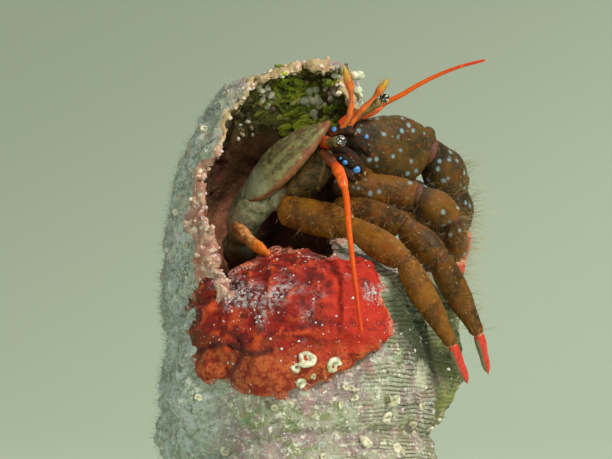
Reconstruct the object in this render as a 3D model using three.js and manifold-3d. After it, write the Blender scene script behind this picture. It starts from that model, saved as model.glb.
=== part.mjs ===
// A small red-legged hermit crab leaning out of a worn cerith shell, life size, as a still model.
// The shell stands on its worn tip in the socket of a round base. Millimetres, +Z up, origin at the
// centre of the base's foot. The shell's mouth faces -Y, and the crab's head points up and to +X.
import * as THREE from "three";
import { mergeVertices } from "three/addons/utils/BufferGeometryUtils.js";
import Module from "manifold-3d";

const wasm = await Module();
wasm.setup();

// ---------------------------------------------------------------- driving dimensions
const GAP = 0.12; // left between pieces that touch
const MOUTH = [0, 2, 38.5]; // middle of the shell's mouth, the origin of the crab's own frame

const BASE = { radius: 15.5, height: 3.4, edge: 0.8, collar: 5.4, collarTop: 7.8, flare: 1.6 };

const SHELL = {
  end: [1.1, 2.36, 9.44], // end of the siphon canal, in the crab's frame
  lean: [0.064, 0.249], // run to +X and to +Y for each millimetre of rise
  length: 52, // from the point where the spire would end to the end of the canal
  worn: 6.2, // the spire is worn away below this height
  growth: 1.32, // each whorl against the one before it
  turns: 6,
  columns: 32, // faces round one whorl
  knobs: 8, // nodules round one whorl
  lip: 217, // direction of the outer lip, degrees from +X
  lipSuture: 36.4, // height of the suture where it meets the lip
  girth: 8.05, // radius that the whorls grow towards
  taper: 0.3, // radius gained for each millimetre at the tip
  knob: 0.125, // height of a nodule against the radius
};

// ---------------------------------------------------------------- solids from sections
const V = (x, y, z) => new THREE.Vector3(x, y, z);
const mix = (a, b, t) => a + (b - a) * t;
const turn = (degrees) => (degrees * Math.PI) / 180;
const wave = (n) => Math.sin(12.9898 * n) * Math.sin(4.1414 * n + 1.3); // an uneven run of numbers in -1..1

function solidOf(positions, triangles) {
  const geometry = new THREE.BufferGeometry();
  geometry.setAttribute("position", new THREE.Float32BufferAttribute(positions, 3));
  geometry.setIndex(triangles);
  const merged = mergeVertices(geometry, 1e-5);
  return new wasm.Manifold(
    new wasm.Mesh({
      numProp: 3,
      vertProperties: new Float32Array(merged.attributes.position.array),
      triVerts: new Uint32Array(merged.index.array),
    }),
  );
}

function geometrySolid(geometry) {
  geometry.deleteAttribute("normal");
  geometry.deleteAttribute("uv");
  const merged = mergeVertices(geometry, 1e-5);
  return solidOf(Array.from(merged.attributes.position.array), Array.from(merged.index.array));
}

// A closed solid through rings of points, each ring counter-clockwise seen from the last one.
function skin(rings) {
  const count = rings[0].length;
  const points = rings.flat();
  const triangles = [];
  for (let r = 0; r + 1 < rings.length; r++)
    for (let i = 0; i < count; i++) {
      const j = (i + 1) % count;
      const [a, b, c, d] = [r * count + i, r * count + j, (r + 1) * count + j, (r + 1) * count + i];
      triangles.push(a, b, c, a, c, d);
    }
  for (const [ring, flip] of [[rings[0], true], [rings.at(-1), false]]) {
    const middle = ring.reduce((sum, p) => sum.add(p), V(0, 0, 0)).divideScalar(count);
    const first = flip ? 0 : (rings.length - 1) * count;
    points.push(middle);
    for (let i = 0; i < count; i++) {
      const edge = [first + i, first + ((i + 1) % count)];
      triangles.push(...(flip ? edge.reverse() : edge), points.length - 1);
    }
  }
  return solidOf(points.flatMap((p) => p.toArray()), triangles);
}

// An oval ring: half-axes a along `side` and b across it, in the plane that `along` is square to.
function oval(centre, along, side, a, b, sides) {
  const u = side.clone().addScaledVector(along, -side.dot(along)).normalize();
  const v = along.clone().cross(u);
  return Array.from({ length: sides }, (_, i) => {
    const t = (i / sides) * 2 * Math.PI;
    return centre.clone().addScaledVector(u, a * Math.cos(t)).addScaledVector(v, b * Math.sin(t));
  });
}

// A body swept along a smooth curve through `points`; profile(t) gives its two half-axes.
function swept({ points, profile, side = V(0, 0, 1), rings = 6, sides = 8 }, grow = 0) {
  const curve = new THREE.CatmullRomCurve3(points.map((p) => V(...p)), false, "centripetal");
  return skin(
    Array.from({ length: rings + 1 }, (_, i) => {
      const t = i / rings;
      const [a, b] = profile(t).map((half) => half + grow);
      const along = curve.getTangentAt(t);
      const centre = curve.getPointAt(t);
      if (grow && (i === 0 || i === rings)) centre.addScaledVector(along, i ? grow : -grow);
      return oval(centre, along, side, a, b, sides);
    }),
  );
}

// Half-axes read between stops [t, a, b], eased from stop to stop.
const stops = (...list) => (t) => {
  const next = Math.max(1, list.findIndex((stop) => stop[0] >= t - 1e-9));
  const [from, to] = [list[next - 1], list[next]];
  const s = (t - from[0]) / (to[0] - from[0]);
  return [mix(from[1], to[1], s), mix(from[2], to[2], s)];
};

// ---------------------------------------------------------------- the shell
const shellAxis = V(SHELL.lean[0], SHELL.lean[1], 1).normalize();
const shellFrame = (() => {
  const x = V(1, 0, 0).addScaledVector(shellAxis, -shellAxis.x).normalize();
  const origin = V(...SHELL.end).addScaledVector(shellAxis, -SHELL.length);
  return new THREE.Matrix4().makeBasis(x, shellAxis.clone().cross(x), shellAxis).setPosition(origin);
})();
const shellPoint = (degrees, radius, height) =>
  V(radius * Math.cos(turn(degrees)), radius * Math.sin(turn(degrees)), height).applyMatrix4(shellFrame);

const suture = (degrees) => SHELL.lipSuture * SHELL.growth ** ((degrees - SHELL.lip) / 360);
const cone = (height) => ((SHELL.taper * height) ** -6 + SHELL.girth ** -6) ** (-1 / 6);
const neck = (height) => 2.5 + 2.2 * Math.exp((39.5 - height) / 2.2);

// Rows across one whorl from suture to suture: place, swelling and share of the nodule.
const ROWS = [
  [0, -0.035, 0],
  [0.13, 0.012, 0.2],
  [0.38, 0.03, 1],
  [0.62, 0.025, 0.55],
  [0.86, 0.004, 0.15],
  [1, -0.035, 0],
];
const LAST = ROWS.length - 1;
const BASE_ROWS = 8; // rows from the last suture over the whorl's base to the canal's end

function whorlRadius(column, height, [, swell, share]) {
  const step = SHELL.columns / SHELL.knobs;
  const off = [0, 0.55, 0.95, 0.55][column % step];
  const last = 1 - (SHELL.columns * SHELL.turns - column) / SHELL.columns;
  const fade = Math.min(1, Math.max(0, (0.9 - last) * 5)); // the nodules die out towards the lip
  const worn = Math.min(1, Math.max(0.15, (height - 8) / 14)); // the spire is worn smooth at its tip
  const knob = SHELL.knob * (1 + 0.35 * wave(Math.round(column / step))) * (1 - off) * fade * worn;
  return cone(height) * (1 + swell + share * knob) * (1 - 0.03 * (1 - fade));
}

// On the last turn, the whorl's base falls to the neck; `t` runs from one side of the lip round to it.
function bodyRadius(t, height, full) {
  const shoulder = 38 + 3.5 * t + 8.8 * t * t;
  const kept = 1 / (1 + Math.exp((height - shoulder) / mix(0.55, 1.45, t)));
  const cap = Math.sqrt(Math.max(0.06, 1 - Math.max(0, (height - SHELL.length + 2.4) / 2.4) ** 2));
  return mix(Math.min(neck(height), full), full, kept) * cap;
}

function shellOuter(grow) {
  const { columns, turns, length } = SHELL;
  const end = columns * turns;
  const points = [];
  const index = new Map();
  const add = (key, point) => {
    index.set(key, points.length / 3);
    points.push(...point.toArray());
  };
  const id = (i, k) => (k === 0 && i >= columns ? index.get(`${i - columns},${LAST}`) : index.get(`${i},${k}`));
  for (let i = 0; i <= end; i++) {
    const degrees = SHELL.lip + ((i - end) * 360) / columns;
    const low = suture(degrees);
    const t = 1 - (end - i) / columns;
    const lipShift = i === end ? (grow * 180) / Math.PI / 6 : 0;
    for (let k = i < columns ? 0 : 1; k <= LAST; k++) {
      const height = low * SHELL.growth ** ROWS[k][0];
      const full = whorlRadius(i, height, ROWS[k]);
      const radius = t > 0 ? bodyRadius(t, height, full) : full;
      add(`${i},${k}`, shellPoint(degrees + lipShift, radius + grow, height));
    }
    if (t <= 0) continue;
    const top = low * SHELL.growth;
    for (let k = 1; k <= BASE_ROWS; k++) {
      const height = mix(top, length - 0.25, k / BASE_ROWS);
      const ridge = cone(height) * (1 + 0.02 * Math.cos(k * Math.PI));
      add(`${i},${LAST + k}`, shellPoint(degrees + lipShift, bodyRadius(t, height, ridge) + grow, height));
    }
  }
  const triangles = [];
  const quad = (i, k) =>
    triangles.push(id(i, k), id(i + 1, k), id(i + 1, k + 1), id(i, k), id(i + 1, k + 1), id(i, k + 1));
  for (let i = 0; i < end; i++) {
    const rows = i > end - columns ? LAST + BASE_ROWS : LAST;
    for (let k = 0; k < rows; k++) quad(i, k);
  }
  // the step at the lip, between the last column and the one a turn before the next
  let [a, b] = [0, LAST];
  const top = LAST + BASE_ROWS;
  const before = end - columns + 1;
  const heightAt = (i, k) => new THREE.Vector3().fromArray(points, id(i, k) * 3).dot(shellAxis);
  while (a < top || b < top) {
    const advanceA = b === top || (a < top && heightAt(end, a + 1) < heightAt(before, b + 1));
    if (advanceA) triangles.push(id(end, a), id(before, b), id(end, ++a));
    else triangles.push(id(end, a), id(before, b), id(before, ++b));
  }
  // the two ends
  add("top", shellPoint(0, 0, length + grow));
  add("tip", shellPoint(0, 0, SHELL.worn - grow));
  for (let i = before; i < end; i++) triangles.push(id(i, top), id(i + 1, top), index.get("top"));
  triangles.push(id(end, top), id(before, top), index.get("top"));
  for (let i = 0; i < columns; i++) triangles.push(id(i + 1, 0), id(i, 0), index.get("tip"));
  for (let k = 0; k < LAST; k++) triangles.push(id(0, k), id(0, k + 1), index.get("tip"));
  return solidOf(points, triangles);
}

// The hollow at the lip, as radius and height, round from its lower corner by the inner wall.
const HOLLOW = [
  [6.9, 38.1], [5.8, 38.6], [4.6, 39.9], [3.5, 41.6], [2.9, 44], [2.8, 46.6],
  [3, 48.6], [4.2, 49.1], [5.7, 48], [6.8, 46], [7.2, 43.2], [7.25, 40.5],
];
const hollowMiddle = HOLLOW.reduce((sum, p) => [sum[0] + p[0] / 12, sum[1] + p[1] / 12], [0, 0]);

function shellHollow(grow) {
  const rings = [];
  for (let degrees = SHELL.lip - 300; degrees <= SHELL.lip + 12.1; degrees += 12) {
    const scale = SHELL.growth ** (Math.min(0, degrees - SHELL.lip) / 360);
    rings.push(
      HOLLOW.map(([radius, height]) => {
        const out = new THREE.Vector2(radius - hollowMiddle[0], height - hollowMiddle[1]);
        out.setLength(out.length() * scale - grow);
        return shellPoint(degrees, hollowMiddle[0] * scale + out.x, hollowMiddle[1] * scale + out.y);
      }),
    );
  }
  return skin(rings);
}

// The mouth: an oval that opens towards -Y and rounds off inside the neck.
function shellMouth(grow) {
  const side = V(Math.cos(turn(12)), 0, -Math.sin(turn(12)));
  const stations = [[-13, 1.04], [-4, 1], [-0.5, 0.99], [1.4, 0.88], [2.7, 0.64], [3.4, 0.3]];
  return skin(
    stations.map(([y, size]) =>
      oval(V(-1.2, y, 2.85 + 0.1 * y), V(0, 1, 0), side, 4.15 * size - grow, 6.15 * size - grow, 20),
    ),
  );
}

const shellSolid = (grow) => shellOuter(grow).subtract(shellHollow(grow)).subtract(shellMouth(grow));

// ---------------------------------------------------------------- the red sponge on the shell
// Stations round the shell below the mouth: place, half height and half thickness.
const SPONGE = [
  [-6.9, -3.6, -5.0, 0.5, 0.4],
  [-6.2, -5.4, -5.7, 2.6, 1.1],
  [-4.7, -7.2, -5.8, 3.3, 1.5],
  [-2.7, -8.6, -5.7, 4.0, 1.7],
  [-0.5, -9.1, -5.5, 4.2, 1.8],
  [1.4, -9.0, -5.3, 3.5, 1.7],
  [2.9, -8.5, -5.2, 2.6, 1.5],
  [4.1, -7.9, -5.0, 1.4, 1.1],
  [4.7, -7.4, -5.0, 0.4, 0.4],
];

function spongeSolid(grow) {
  return skin(
    SPONGE.map(([x, y, z, high, deep], i) => {
      const [before, after] = [SPONGE[Math.max(0, i - 1)], SPONGE[Math.min(SPONGE.length - 1, i + 1)]];
      const along = V(after[0] - before[0], after[1] - before[1], 0).normalize();
      const tilt = V(0, SHELL.lean[1], 1);
      return oval(V(x, y, z), along, tilt, high + grow, deep + grow, 12);
    }),
  );
}

// ---------------------------------------------------------------- the crab
// Each piece is a function of `grow`, so that a neighbour can be cut clear of it.
const piece = (spec) => (grow) => swept(spec, grow);

// A jointed limb: thick at each joint's far end, parted at the joints by thin flat cuts.
function limb(name, joints, parts, side) {
  const points = joints.map((p) => V(...p));
  return parts.map(({ part, from, middle, to, flat }, n) => {
    const [a, b] = [points[n], points[n + 1]];
    const along = b.clone().sub(a).normalize();
    const near = n ? a.clone().sub(points[n - 1]).normalize().add(along).normalize() : along;
    const far = n + 1 < parts.length ? points[n + 2].clone().sub(b).normalize().add(along).normalize() : along;
    const solid = (grow) => {
      const shares = [0, 0.16, 0.5, 0.82, 1];
      const thick = [from * 0.86, from, middle, to, n + 1 < parts.length ? to * 0.86 : to * 0.8];
      return skin(
        shares.map((share, i) => {
          const centre = a.clone().lerp(b, share);
          const plane = i === 0 ? near : i === 4 ? far : along;
          const shift = i === 0 ? GAP / 2 - grow : i === 4 ? grow - GAP / 2 : 0;
          centre.addScaledVector(plane, shift);
          return oval(centre, plane, side, thick[i] + grow, thick[i] * flat + grow, 8);
        }),
      );
    };
    return [`${name}_${part}`, solid];
  });
}

// Walking leg: half thickness of each length along the leg's height; `k` scales the whole leg.
const walking = (k = 1) => [
  { part: "merus", from: 0.62 * k, middle: 0.86 * k, to: 0.84 * k, flat: 0.72 },
  { part: "carpus", from: 0.68 * k, middle: 0.84 * k, to: 0.86 * k, flat: 0.8 },
  { part: "propodus", from: 0.72 * k, middle: 0.68 * k, to: 0.45 * k, flat: 0.82 },
  { part: "dactyl", from: 0.33 * k, middle: 0.28, to: 0.25, flat: 0.9 },
];
// Claw limb up to its palm; the left one, held out on the far side, is seen broadside.
const clawArm = (k, broad) => [
  { part: "merus", from: 0.8 * k * broad, middle: 1.1 * k * broad, to: 1.02 * k * broad, flat: 0.62 / broad },
  { part: "carpus", from: 0.75 * k, middle: 0.95 * k, to: 0.95 * k, flat: 0.85 },
  { part: "palm", from: 0.7 * k, middle: 0.95 * k, to: 0.85 * k, flat: 0.75 },
];
// Two fingers that close on each other, side by side beyond the palm.
function fingers(name, palmEnd, tip, apart, k = 1) {
  const length = V(...tip).sub(V(...palmEnd));
  return [["finger", 1], ["thumb", -1]].map(([part, way]) => {
    const start = V(...palmEnd).addScaledVector(length, 0.12).addScaledVector(apart, 0.42 * k * way);
    const bend = V(...palmEnd).addScaledVector(length, 0.55).addScaledVector(apart, 0.46 * k * way);
    const stop = V(...palmEnd).addScaledVector(length, 1).addScaledVector(apart, 0.24 * way);
    return [
      `${name}_${part}`,
      piece({
        points: [start.toArray(), bend.toArray(), stop.toArray()],
        profile: stops([0, 0.36 * k, 0.5 * k], [0.5, 0.33 * k, 0.42 * k], [1, 0.2, 0.2]),
        side: apart,
        rings: 4,
        sides: 7,
      }),
    ];
  });
}

const flat = V(0, 0, 1);
const LEGS = [
  ...limb("leg3_right", [[-1.5, -3.9, 1.15], [2.5, -6.2, 0.2], [5.5, -7.5, -1.8], [8.16, -6.9, -6.45],
    [9.05, -6.2, -8.65]], walking(), flat),
  ...limb("leg2_right", [[0.6, -3.9, 1.5], [5.3, -4.9, 0.65], [7.65, -5.0, -1.5], [9.75, -3.9, -5.9],
    [10.3, -3.2, -8.2]], walking(1.12), flat),
  ...limb("leg2_left", [[2.4, -3.0, 3.0], [7.2, 2.4, 1.7], [8.3, 4.9, -0.6], [8.1, 6.1, -5.0],
    [7.6, 6.2, -7.4]], walking(1.02), flat),
  ...limb("leg3_left", [[2.0, -2.9, 1.8], [6.6, 2.6, 0.6], [7.5, 5.2, -1.6], [6.6, 7.6, -5.4],
    [5.8, 7.7, -7.8]], walking(0.95), flat),
];
const CLAWS = [
  ...limb("claw_right", [[1.5, -3.3, 2.6], [6.3, -3.1, 1.95], [8.3, -2.2, 0.75], [8.7, -0.9, -1.4]],
    clawArm(0.82, 1), flat),
  ...fingers("claw_right", [8.7, -0.9, -1.4], [8.3, -0.3, -3.6], V(0.3, 0.95, 0.1), 0.82),
  ...limb("claw_left", [[2.3, -2.3, 4.75], [7.1, 0.1, 4.5], [8.8, 1.5, 2.5], [8.9, 2.6, 0.2]],
    clawArm(1.25, 1.25), flat),
  ...fingers("claw_left", [8.9, 2.6, 0.2], [8.5, 3.1, -2.4], V(0.95, -0.2, 0.1), 1.0),
];

const HEAD = [
  ["eye_right", piece({ points: [[1.85, -5.55, 4.95], [1.98, -5.82, 4.96], [2.1, -6.1, 4.97]],
    profile: (t) => Array(2).fill(0.14 + 0.24 * Math.sin(Math.PI * t) ** 0.5), rings: 6, sides: 10 })],
  ["eye_left", piece({ points: [[4.3, -2.86, 7.34], [4.48, -2.9, 7.46], [4.72, -2.94, 7.6]],
    profile: (t) => Array(2).fill(0.14 + 0.24 * Math.sin(Math.PI * t) ** 0.5), rings: 6, sides: 10 })],
  ["eyestalk_right", piece({ points: [[0.95, -3.6, 4.9], [1.4, -4.6, 4.95], [1.78, -5.4, 4.94]],
    profile: stops([0, 0.36, 0.36], [0.5, 0.27, 0.27], [1, 0.32, 0.32]), rings: 4 })],
  ["eyestalk_left", piece({ points: [[1.95, -2.7, 5.85], [3.1, -2.8, 6.6], [4.16, -2.84, 7.26]],
    profile: stops([0, 0.36, 0.36], [0.5, 0.27, 0.27], [1, 0.32, 0.32]), rings: 4 })],
  ["antennule_right", piece({ points: [[1.75, -3.7, 5.4], [2.35, -4.1, 6.2], [2.5, -4.2, 7.9], [2.3, -4.3, 8.6],
    [2.15, -4.3, 9.2]], profile: stops([0, 0.27, 0.27], [1, 0.25, 0.25]), rings: 9, sides: 6 })],
  ["antennule_left", piece({ points: [[2.3, -3.35, 5.6], [2.75, -3.5, 6.25], [4.1, -3.6, 7.75], [4.65, -3.65, 8.5]],
    profile: stops([0, 0.27, 0.27], [1, 0.25, 0.25]), rings: 8, sides: 6 })],
  ["antenna_base_right", piece({ points: [[0.9, -4.4, 4.35], [1.5, -5.2, 3.75], [1.9, -6.1, 3.1], [2.15, -6.75, 2.3]],
    profile: stops([0, 0.38, 0.38], [0.4, 0.42, 0.42], [1, 0.34, 0.34]), rings: 6 })],
  ["antenna_right", piece({ points: [[2.2, -6.98, 2.05], [2.38, -8.7, 0], [2.6, -10.3, -2], [2.84, -11.5, -4],
    [3.05, -12, -5.75]], profile: stops([0, 0.25, 0.25], [1, 0.25, 0.25]), rings: 12, sides: 6 })],
  ["antenna_base_left", piece({ points: [[2.3, -1.75, 5.55], [2.9, -1.75, 6.1], [3.7, -1.8, 6.7], [4.3, -1.85, 7.05]],
    profile: stops([0, 0.36, 0.36], [1, 0.3, 0.3]), rings: 4 })],
  ["antenna_left", piece({ points: [[4.5, -1.9, 7.18], [5.35, -2, 7.6], [6.46, -2.1, 8.25], [8.7, -2.3, 9.22],
    [10.15, -2.4, 9.6]], profile: stops([0, 0.25, 0.25], [1, 0.25, 0.25]), rings: 10, sides: 6 })],
  ["jawfoot_right", piece({ points: [[1.9, -3.8, 4.2], [2.8, -4.1, 3.9], [3.3, -4.0, 3.1]],
    profile: stops([0, 0.34, 0.3], [0.5, 0.38, 0.32], [1, 0.25, 0.25]), rings: 5, sides: 7 })],
  ["jawfoot_left", piece({ points: [[2.3, -3.3, 4.9], [3.1, -3.6, 4.8], [3.7, -3.6, 4.1]],
    profile: stops([0, 0.34, 0.3], [0.5, 0.38, 0.32], [1, 0.25, 0.25]), rings: 5, sides: 7 })],
];

const dorsal = V(-0.69, -0.46, 0.54);
const BODY = [
  ["leg4_right", piece({ points: [[-4.1, -2.5, 0.35], [-3.3, -3.9, -0.55], [-2.15, -5.2, -1.25]],
    profile: stops([0, 0.27, 0.27], [0.6, 0.27, 0.27], [1, 0.25, 0.25]), rings: 6, sides: 7 })],
  ["shield", piece({ points: [[-2.75, -2.75, 2.5], [-1.0, -3.5, 4.1], [1.3, -4.0, 6.0]],
    profile: stops([0, 0.42, 1.5], [0.2, 0.66, 1.95], [0.45, 0.66, 1.9], [0.7, 0.5, 1.45], [0.84, 0.38, 0.8],
      [1, 0.2, 0.22]), side: dorsal, rings: 9, sides: 12 })],
  ["carapace", piece({ points: [[-2.35, -2.1, 2.2], [-3.0, -1.5, 1.45], [-3.55, -0.6, 0.5], [-3.75, 0.25, -0.15]],
    profile: stops([0, 1.15, 1.5], [0.4, 1.15, 1.35], [1, 0.95, 1.0]), side: dorsal, rings: 6, sides: 12 })],
  ["thorax", piece({ points: [[-2.0, -2.35, 1.75], [0, -2.9, 3.15], [1.9, -3.0, 4.9]],
    profile: stops([0, 0.95, 1.3], [0.4, 1.35, 1.55], [0.75, 1.2, 1.3], [1, 0.7, 0.75]), side: dorsal,
    rings: 6, sides: 12 })],
];

// The abdomen follows the middle of the hollow up the whorl, in two lengths, with the small fifth leg by it.
const hollowPoint = (degrees) => {
  const scale = SHELL.growth ** ((degrees - SHELL.lip) / 360);
  return shellPoint(degrees, hollowMiddle[0] * scale, (hollowMiddle[1] - 0.9) * scale).toArray();
};
const TAIL = [
  ["abdomen_front", piece({ points: [[-3.8, 0.5, -0.35], ...[140, 100, 62].map(hollowPoint)],
    profile: stops([0, 1.0, 1.05], [0.5, 1.35, 1.35], [1, 1.1, 1.1]), rings: 7, sides: 10 })],
  ["abdomen_rear", piece({ points: [60, 20, -20, -60].map(hollowPoint),
    profile: stops([0, 1.1, 1.1], [1, 0.4, 0.4]), rings: 6, sides: 9 })],
];

// ---------------------------------------------------------------- the base
// A turned disc with a collar round the socket for the spire's worn tip.
const turned = (outline, sides) =>
  geometrySolid(new THREE.LatheGeometry(outline.map((p) => new THREE.Vector2(...p)), sides).rotateX(Math.PI / 2));

// Clear of the spire's nodules all the way round.
const socketRadius = (height) => cone(Math.max(height, suture(SHELL.lip - 360 * SHELL.turns)) + 0.6) * 1.07 + GAP;

function baseSolid() {
  const { radius, height, edge, collar, collarTop, flare } = BASE;
  const disc = turned([[0, 0], [radius, 0], [radius, height - edge], [radius - edge, height], [0, height]], 40);
  const ring = turned([[0, 1], [collar + flare, 1], [collar + flare, height], [collar, height + flare],
    [collar - 0.4, collarTop - 0.5], [collar - 0.9, collarTop], [0, collarTop]], 24);
  const foot = V(...SHELL.end).addScaledVector(shellAxis, SHELL.worn - SHELL.length).add(V(...MOUTH));
  const socket = skin(
    [SHELL.worn - GAP, SHELL.worn + 2.5, SHELL.worn + 9].map((height) =>
      oval(shellPoint(0, 0, height), shellAxis, V(1, 0, 0), socketRadius(height), socketRadius(height), 24),
    ),
  );
  return disc.add(ring.translate([foot.x, foot.y + 0.4, 0])).subtract(socket.translate(MOUTH));
}

// ---------------------------------------------------------------- assembly
const FINISH = {
  shell: [0x9a9486, 0.9],
  sponge: [0xa52a18, 0.75],
  shield: [0x8a8468, 0.5],
  soft: [0x9aa890, 0.6],
  leg: [0x8a5218, 0.45],
  dactyl: [0xb03018, 0.4],
  claw: [0x5a4a26, 0.5],
  antenna: [0xe06a10, 0.4],
  eye: [0xe8e4dc, 0.15],
  stand: [0x1c1a18, 0.55],
};
const finishOf = (name) => {
  if (/dactyl|finger|thumb/.test(name)) return "dactyl";
  if (/^eye_/.test(name)) return "eye";
  if (/^anten|^eyestalk/.test(name)) return "antenna";
  if (/^claw/.test(name)) return "claw";
  if (/^leg/.test(name)) return "leg";
  if (/^abdomen|^carapace|^thorax|^jawfoot/.test(name)) return "soft";
  if (/^stand/.test(name)) return "stand";
  return name;
};

const group = new THREE.Group();
const crabFrame = new THREE.Group();
crabFrame.position.set(...MOUTH);
group.add(crabFrame);

function addNode(parent, name, solid) {
  const bodies = solid.decompose().sort((a, b) => b.volume() - a.volume());
  const { vertProperties, triVerts } = bodies[0].getMesh();
  const geometry = new THREE.BufferGeometry();
  geometry.setAttribute("position", new THREE.BufferAttribute(new Float32Array(vertProperties), 3));
  geometry.setIndex(new THREE.BufferAttribute(new Uint32Array(triVerts), 1));
  const [color, roughness] = FINISH[finishOf(name)];
  const mesh = new THREE.Mesh(geometry, new THREE.MeshStandardMaterial({ color, roughness, metalness: 0 }));
  mesh.name = name;
  parent.add(mesh);
}

// Each piece is cut clear of the ones before it; the shell is never cut.
const shellClear = shellSolid(GAP);
const cutters = [shellClear];
addNode(crabFrame, "shell", shellSolid(0));
for (const [name, make] of [...HEAD, ...LEGS, ...CLAWS, ...BODY, ...TAIL]) {
  const solid = cutters.reduce((rest, cutter) => rest.subtract(cutter), make(0));
  addNode(crabFrame, name, solid);
  cutters.push(make(GAP));
}
addNode(crabFrame, "sponge", cutters.reduce((rest, cutter) => rest.subtract(cutter), spongeSolid(0)));

addNode(group, "stand_base", baseSolid());

export default group;
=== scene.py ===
import itertools
import math

import bmesh
import bpy
import numpy as np
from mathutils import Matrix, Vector
from mathutils.bvhtree import BVHTree


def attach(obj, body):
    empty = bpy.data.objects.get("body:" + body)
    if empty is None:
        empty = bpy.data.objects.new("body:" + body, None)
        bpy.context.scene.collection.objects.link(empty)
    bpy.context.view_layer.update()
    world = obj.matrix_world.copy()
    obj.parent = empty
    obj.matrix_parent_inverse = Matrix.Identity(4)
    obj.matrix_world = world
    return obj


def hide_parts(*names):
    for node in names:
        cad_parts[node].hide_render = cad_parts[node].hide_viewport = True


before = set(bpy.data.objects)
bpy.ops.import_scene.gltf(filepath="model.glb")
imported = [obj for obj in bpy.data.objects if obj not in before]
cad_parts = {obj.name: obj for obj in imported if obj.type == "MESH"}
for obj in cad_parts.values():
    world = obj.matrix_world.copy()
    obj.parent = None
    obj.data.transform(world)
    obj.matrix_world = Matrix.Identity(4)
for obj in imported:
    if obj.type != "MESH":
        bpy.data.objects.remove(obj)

bl_info = {
    "name": "Hermit crab in a cerith shell",
    "version": (1, 0, 0),
    "blender": (4, 5, 0),
    "location": "View3D > Sidebar > Hermit crab",
    "description": "Builds a life-size hermit crab that leans out of an overgrown shell on a turned base",
    "category": "Object",
}

MM = 0.001
FULL_TURN = 2 * math.pi
MOUTH = np.array((0.0, 2.0, 38.5))  # middle of the shell's mouth, the origin of the crab's own frame
UP = np.array((0.0, 0.0, 1.0))
CRUMB = 200  # a loose bit with fewer faces than this is left out


# ------------------------------------------------------------------ the sizes and colours a user changes
def tone(red, green, blue):
    """A display colour of 0 to 255 as linear values."""
    return tuple(c / 12.92 if c <= 0.04045 else ((c + 0.055) / 1.055) ** 2.4
                 for c in (v / 255 for v in (red, green, blue)))


def shade(name, description, default):
    return bpy.props.FloatVectorProperty(name=name, description=description, default=default,
                                         subtype="COLOR", size=3, min=0, max=1)


def size(name, description, default, low=0.0, high=100.0):
    return bpy.props.FloatProperty(name=name, description=description, default=default * MM,
                                   min=low * MM, max=high * MM, unit="LENGTH", subtype="DISTANCE", precision=5)


class HermitStageSettings(bpy.types.PropertyGroup):
    backdrop: shade("Backdrop", "Colour of the floor and the wall behind", tone(212, 222, 200))
    key_power: bpy.props.FloatProperty(name="Key light", description="Power of the main light in watts", default=1.1)
    glow: bpy.props.FloatProperty(name="Backdrop glow", description="Light given off by the backdrop", default=0.4)
    frame_width: size("Frame width", "Width that the camera sees at the shell", 34.7)


class HermitShellSettings(bpy.types.PropertyGroup):
    grain: size("Grain", "Spacing of the mesh over the part above the spire", 0.15, 0.05, 1)
    cord_height: size("Cord height", "Height of the spiral cords", 0.05, 0, 0.5)
    rim_bead: size("Lip bead", "Half thickness of the bead along the lip", 0.2, 0, 1)
    chalk: shade("Chalk", "Bare shell", tone(168, 164, 150))
    crust: shade("Crust", "Violet coralline crust", tone(156, 134, 138))
    moss: shade("Green film", "Green film over the shell", tone(128, 138, 96))
    turf: shade("Turf", "Sage turf and mud on the far side", tone(184, 192, 184))
    lip: shade("Lip", "The lip's pink edge", tone(190, 148, 130))
    inside: shade("Inside", "Dark inner wall", tone(104, 70, 46))


class HermitCrustSettings(bpy.types.PropertyGroup):
    sponge_grain: size("Sponge grain", "Spacing of the sponge's mesh", 0.1, 0.05, 1)
    sponge: shade("Sponge", "Red of the sponge", tone(144, 20, 7))
    sponge_light: shade("Sponge ridges", "Orange of the sponge's ridges", tone(204, 78, 26))
    silt: shade("Silt", "Pale grains", tone(196, 182, 190))
    tube: shade("Worm tubes", "Chalky coiled tubes", tone(222, 216, 196))
    algae: shade("Algae", "Green leaves in the mouth", tone(188, 204, 54))
    turf_length: size("Turf length", "Longest thread of the turf", 0.6, 0, 5)


class HermitCrabSettings(bpy.types.PropertyGroup):
    leg: shade("Legs", "Brown of the walking legs", tone(122, 75, 14))
    claw: shade("Claw limbs", "Olive brown of the claw limbs", tone(78, 56, 12))
    dactyl: shade("Leg tips", "Red of the last lengths", tone(200, 44, 26))
    shield: shade("Shield", "Olive of the shield", tone(130, 122, 78))
    skin: shade("Soft skin", "Pale green of the soft body", tone(174, 178, 148))
    antenna: shade("Antennae", "Orange of the antennae", tone(208, 84, 2))
    spot: shade("Spots", "Pale blue spots", tone(136, 168, 182))
    bristle: shade("Bristles", "Straw-coloured bristles", tone(190, 170, 122))
    bristle_length: size("Bristle length", "Length of a bristle on the legs", 0.75, 0, 5)


class HermitBaseSettings(bpy.types.PropertyGroup):
    wood: shade("Wood", "Dark wood of the base", tone(64, 44, 32))


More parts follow.
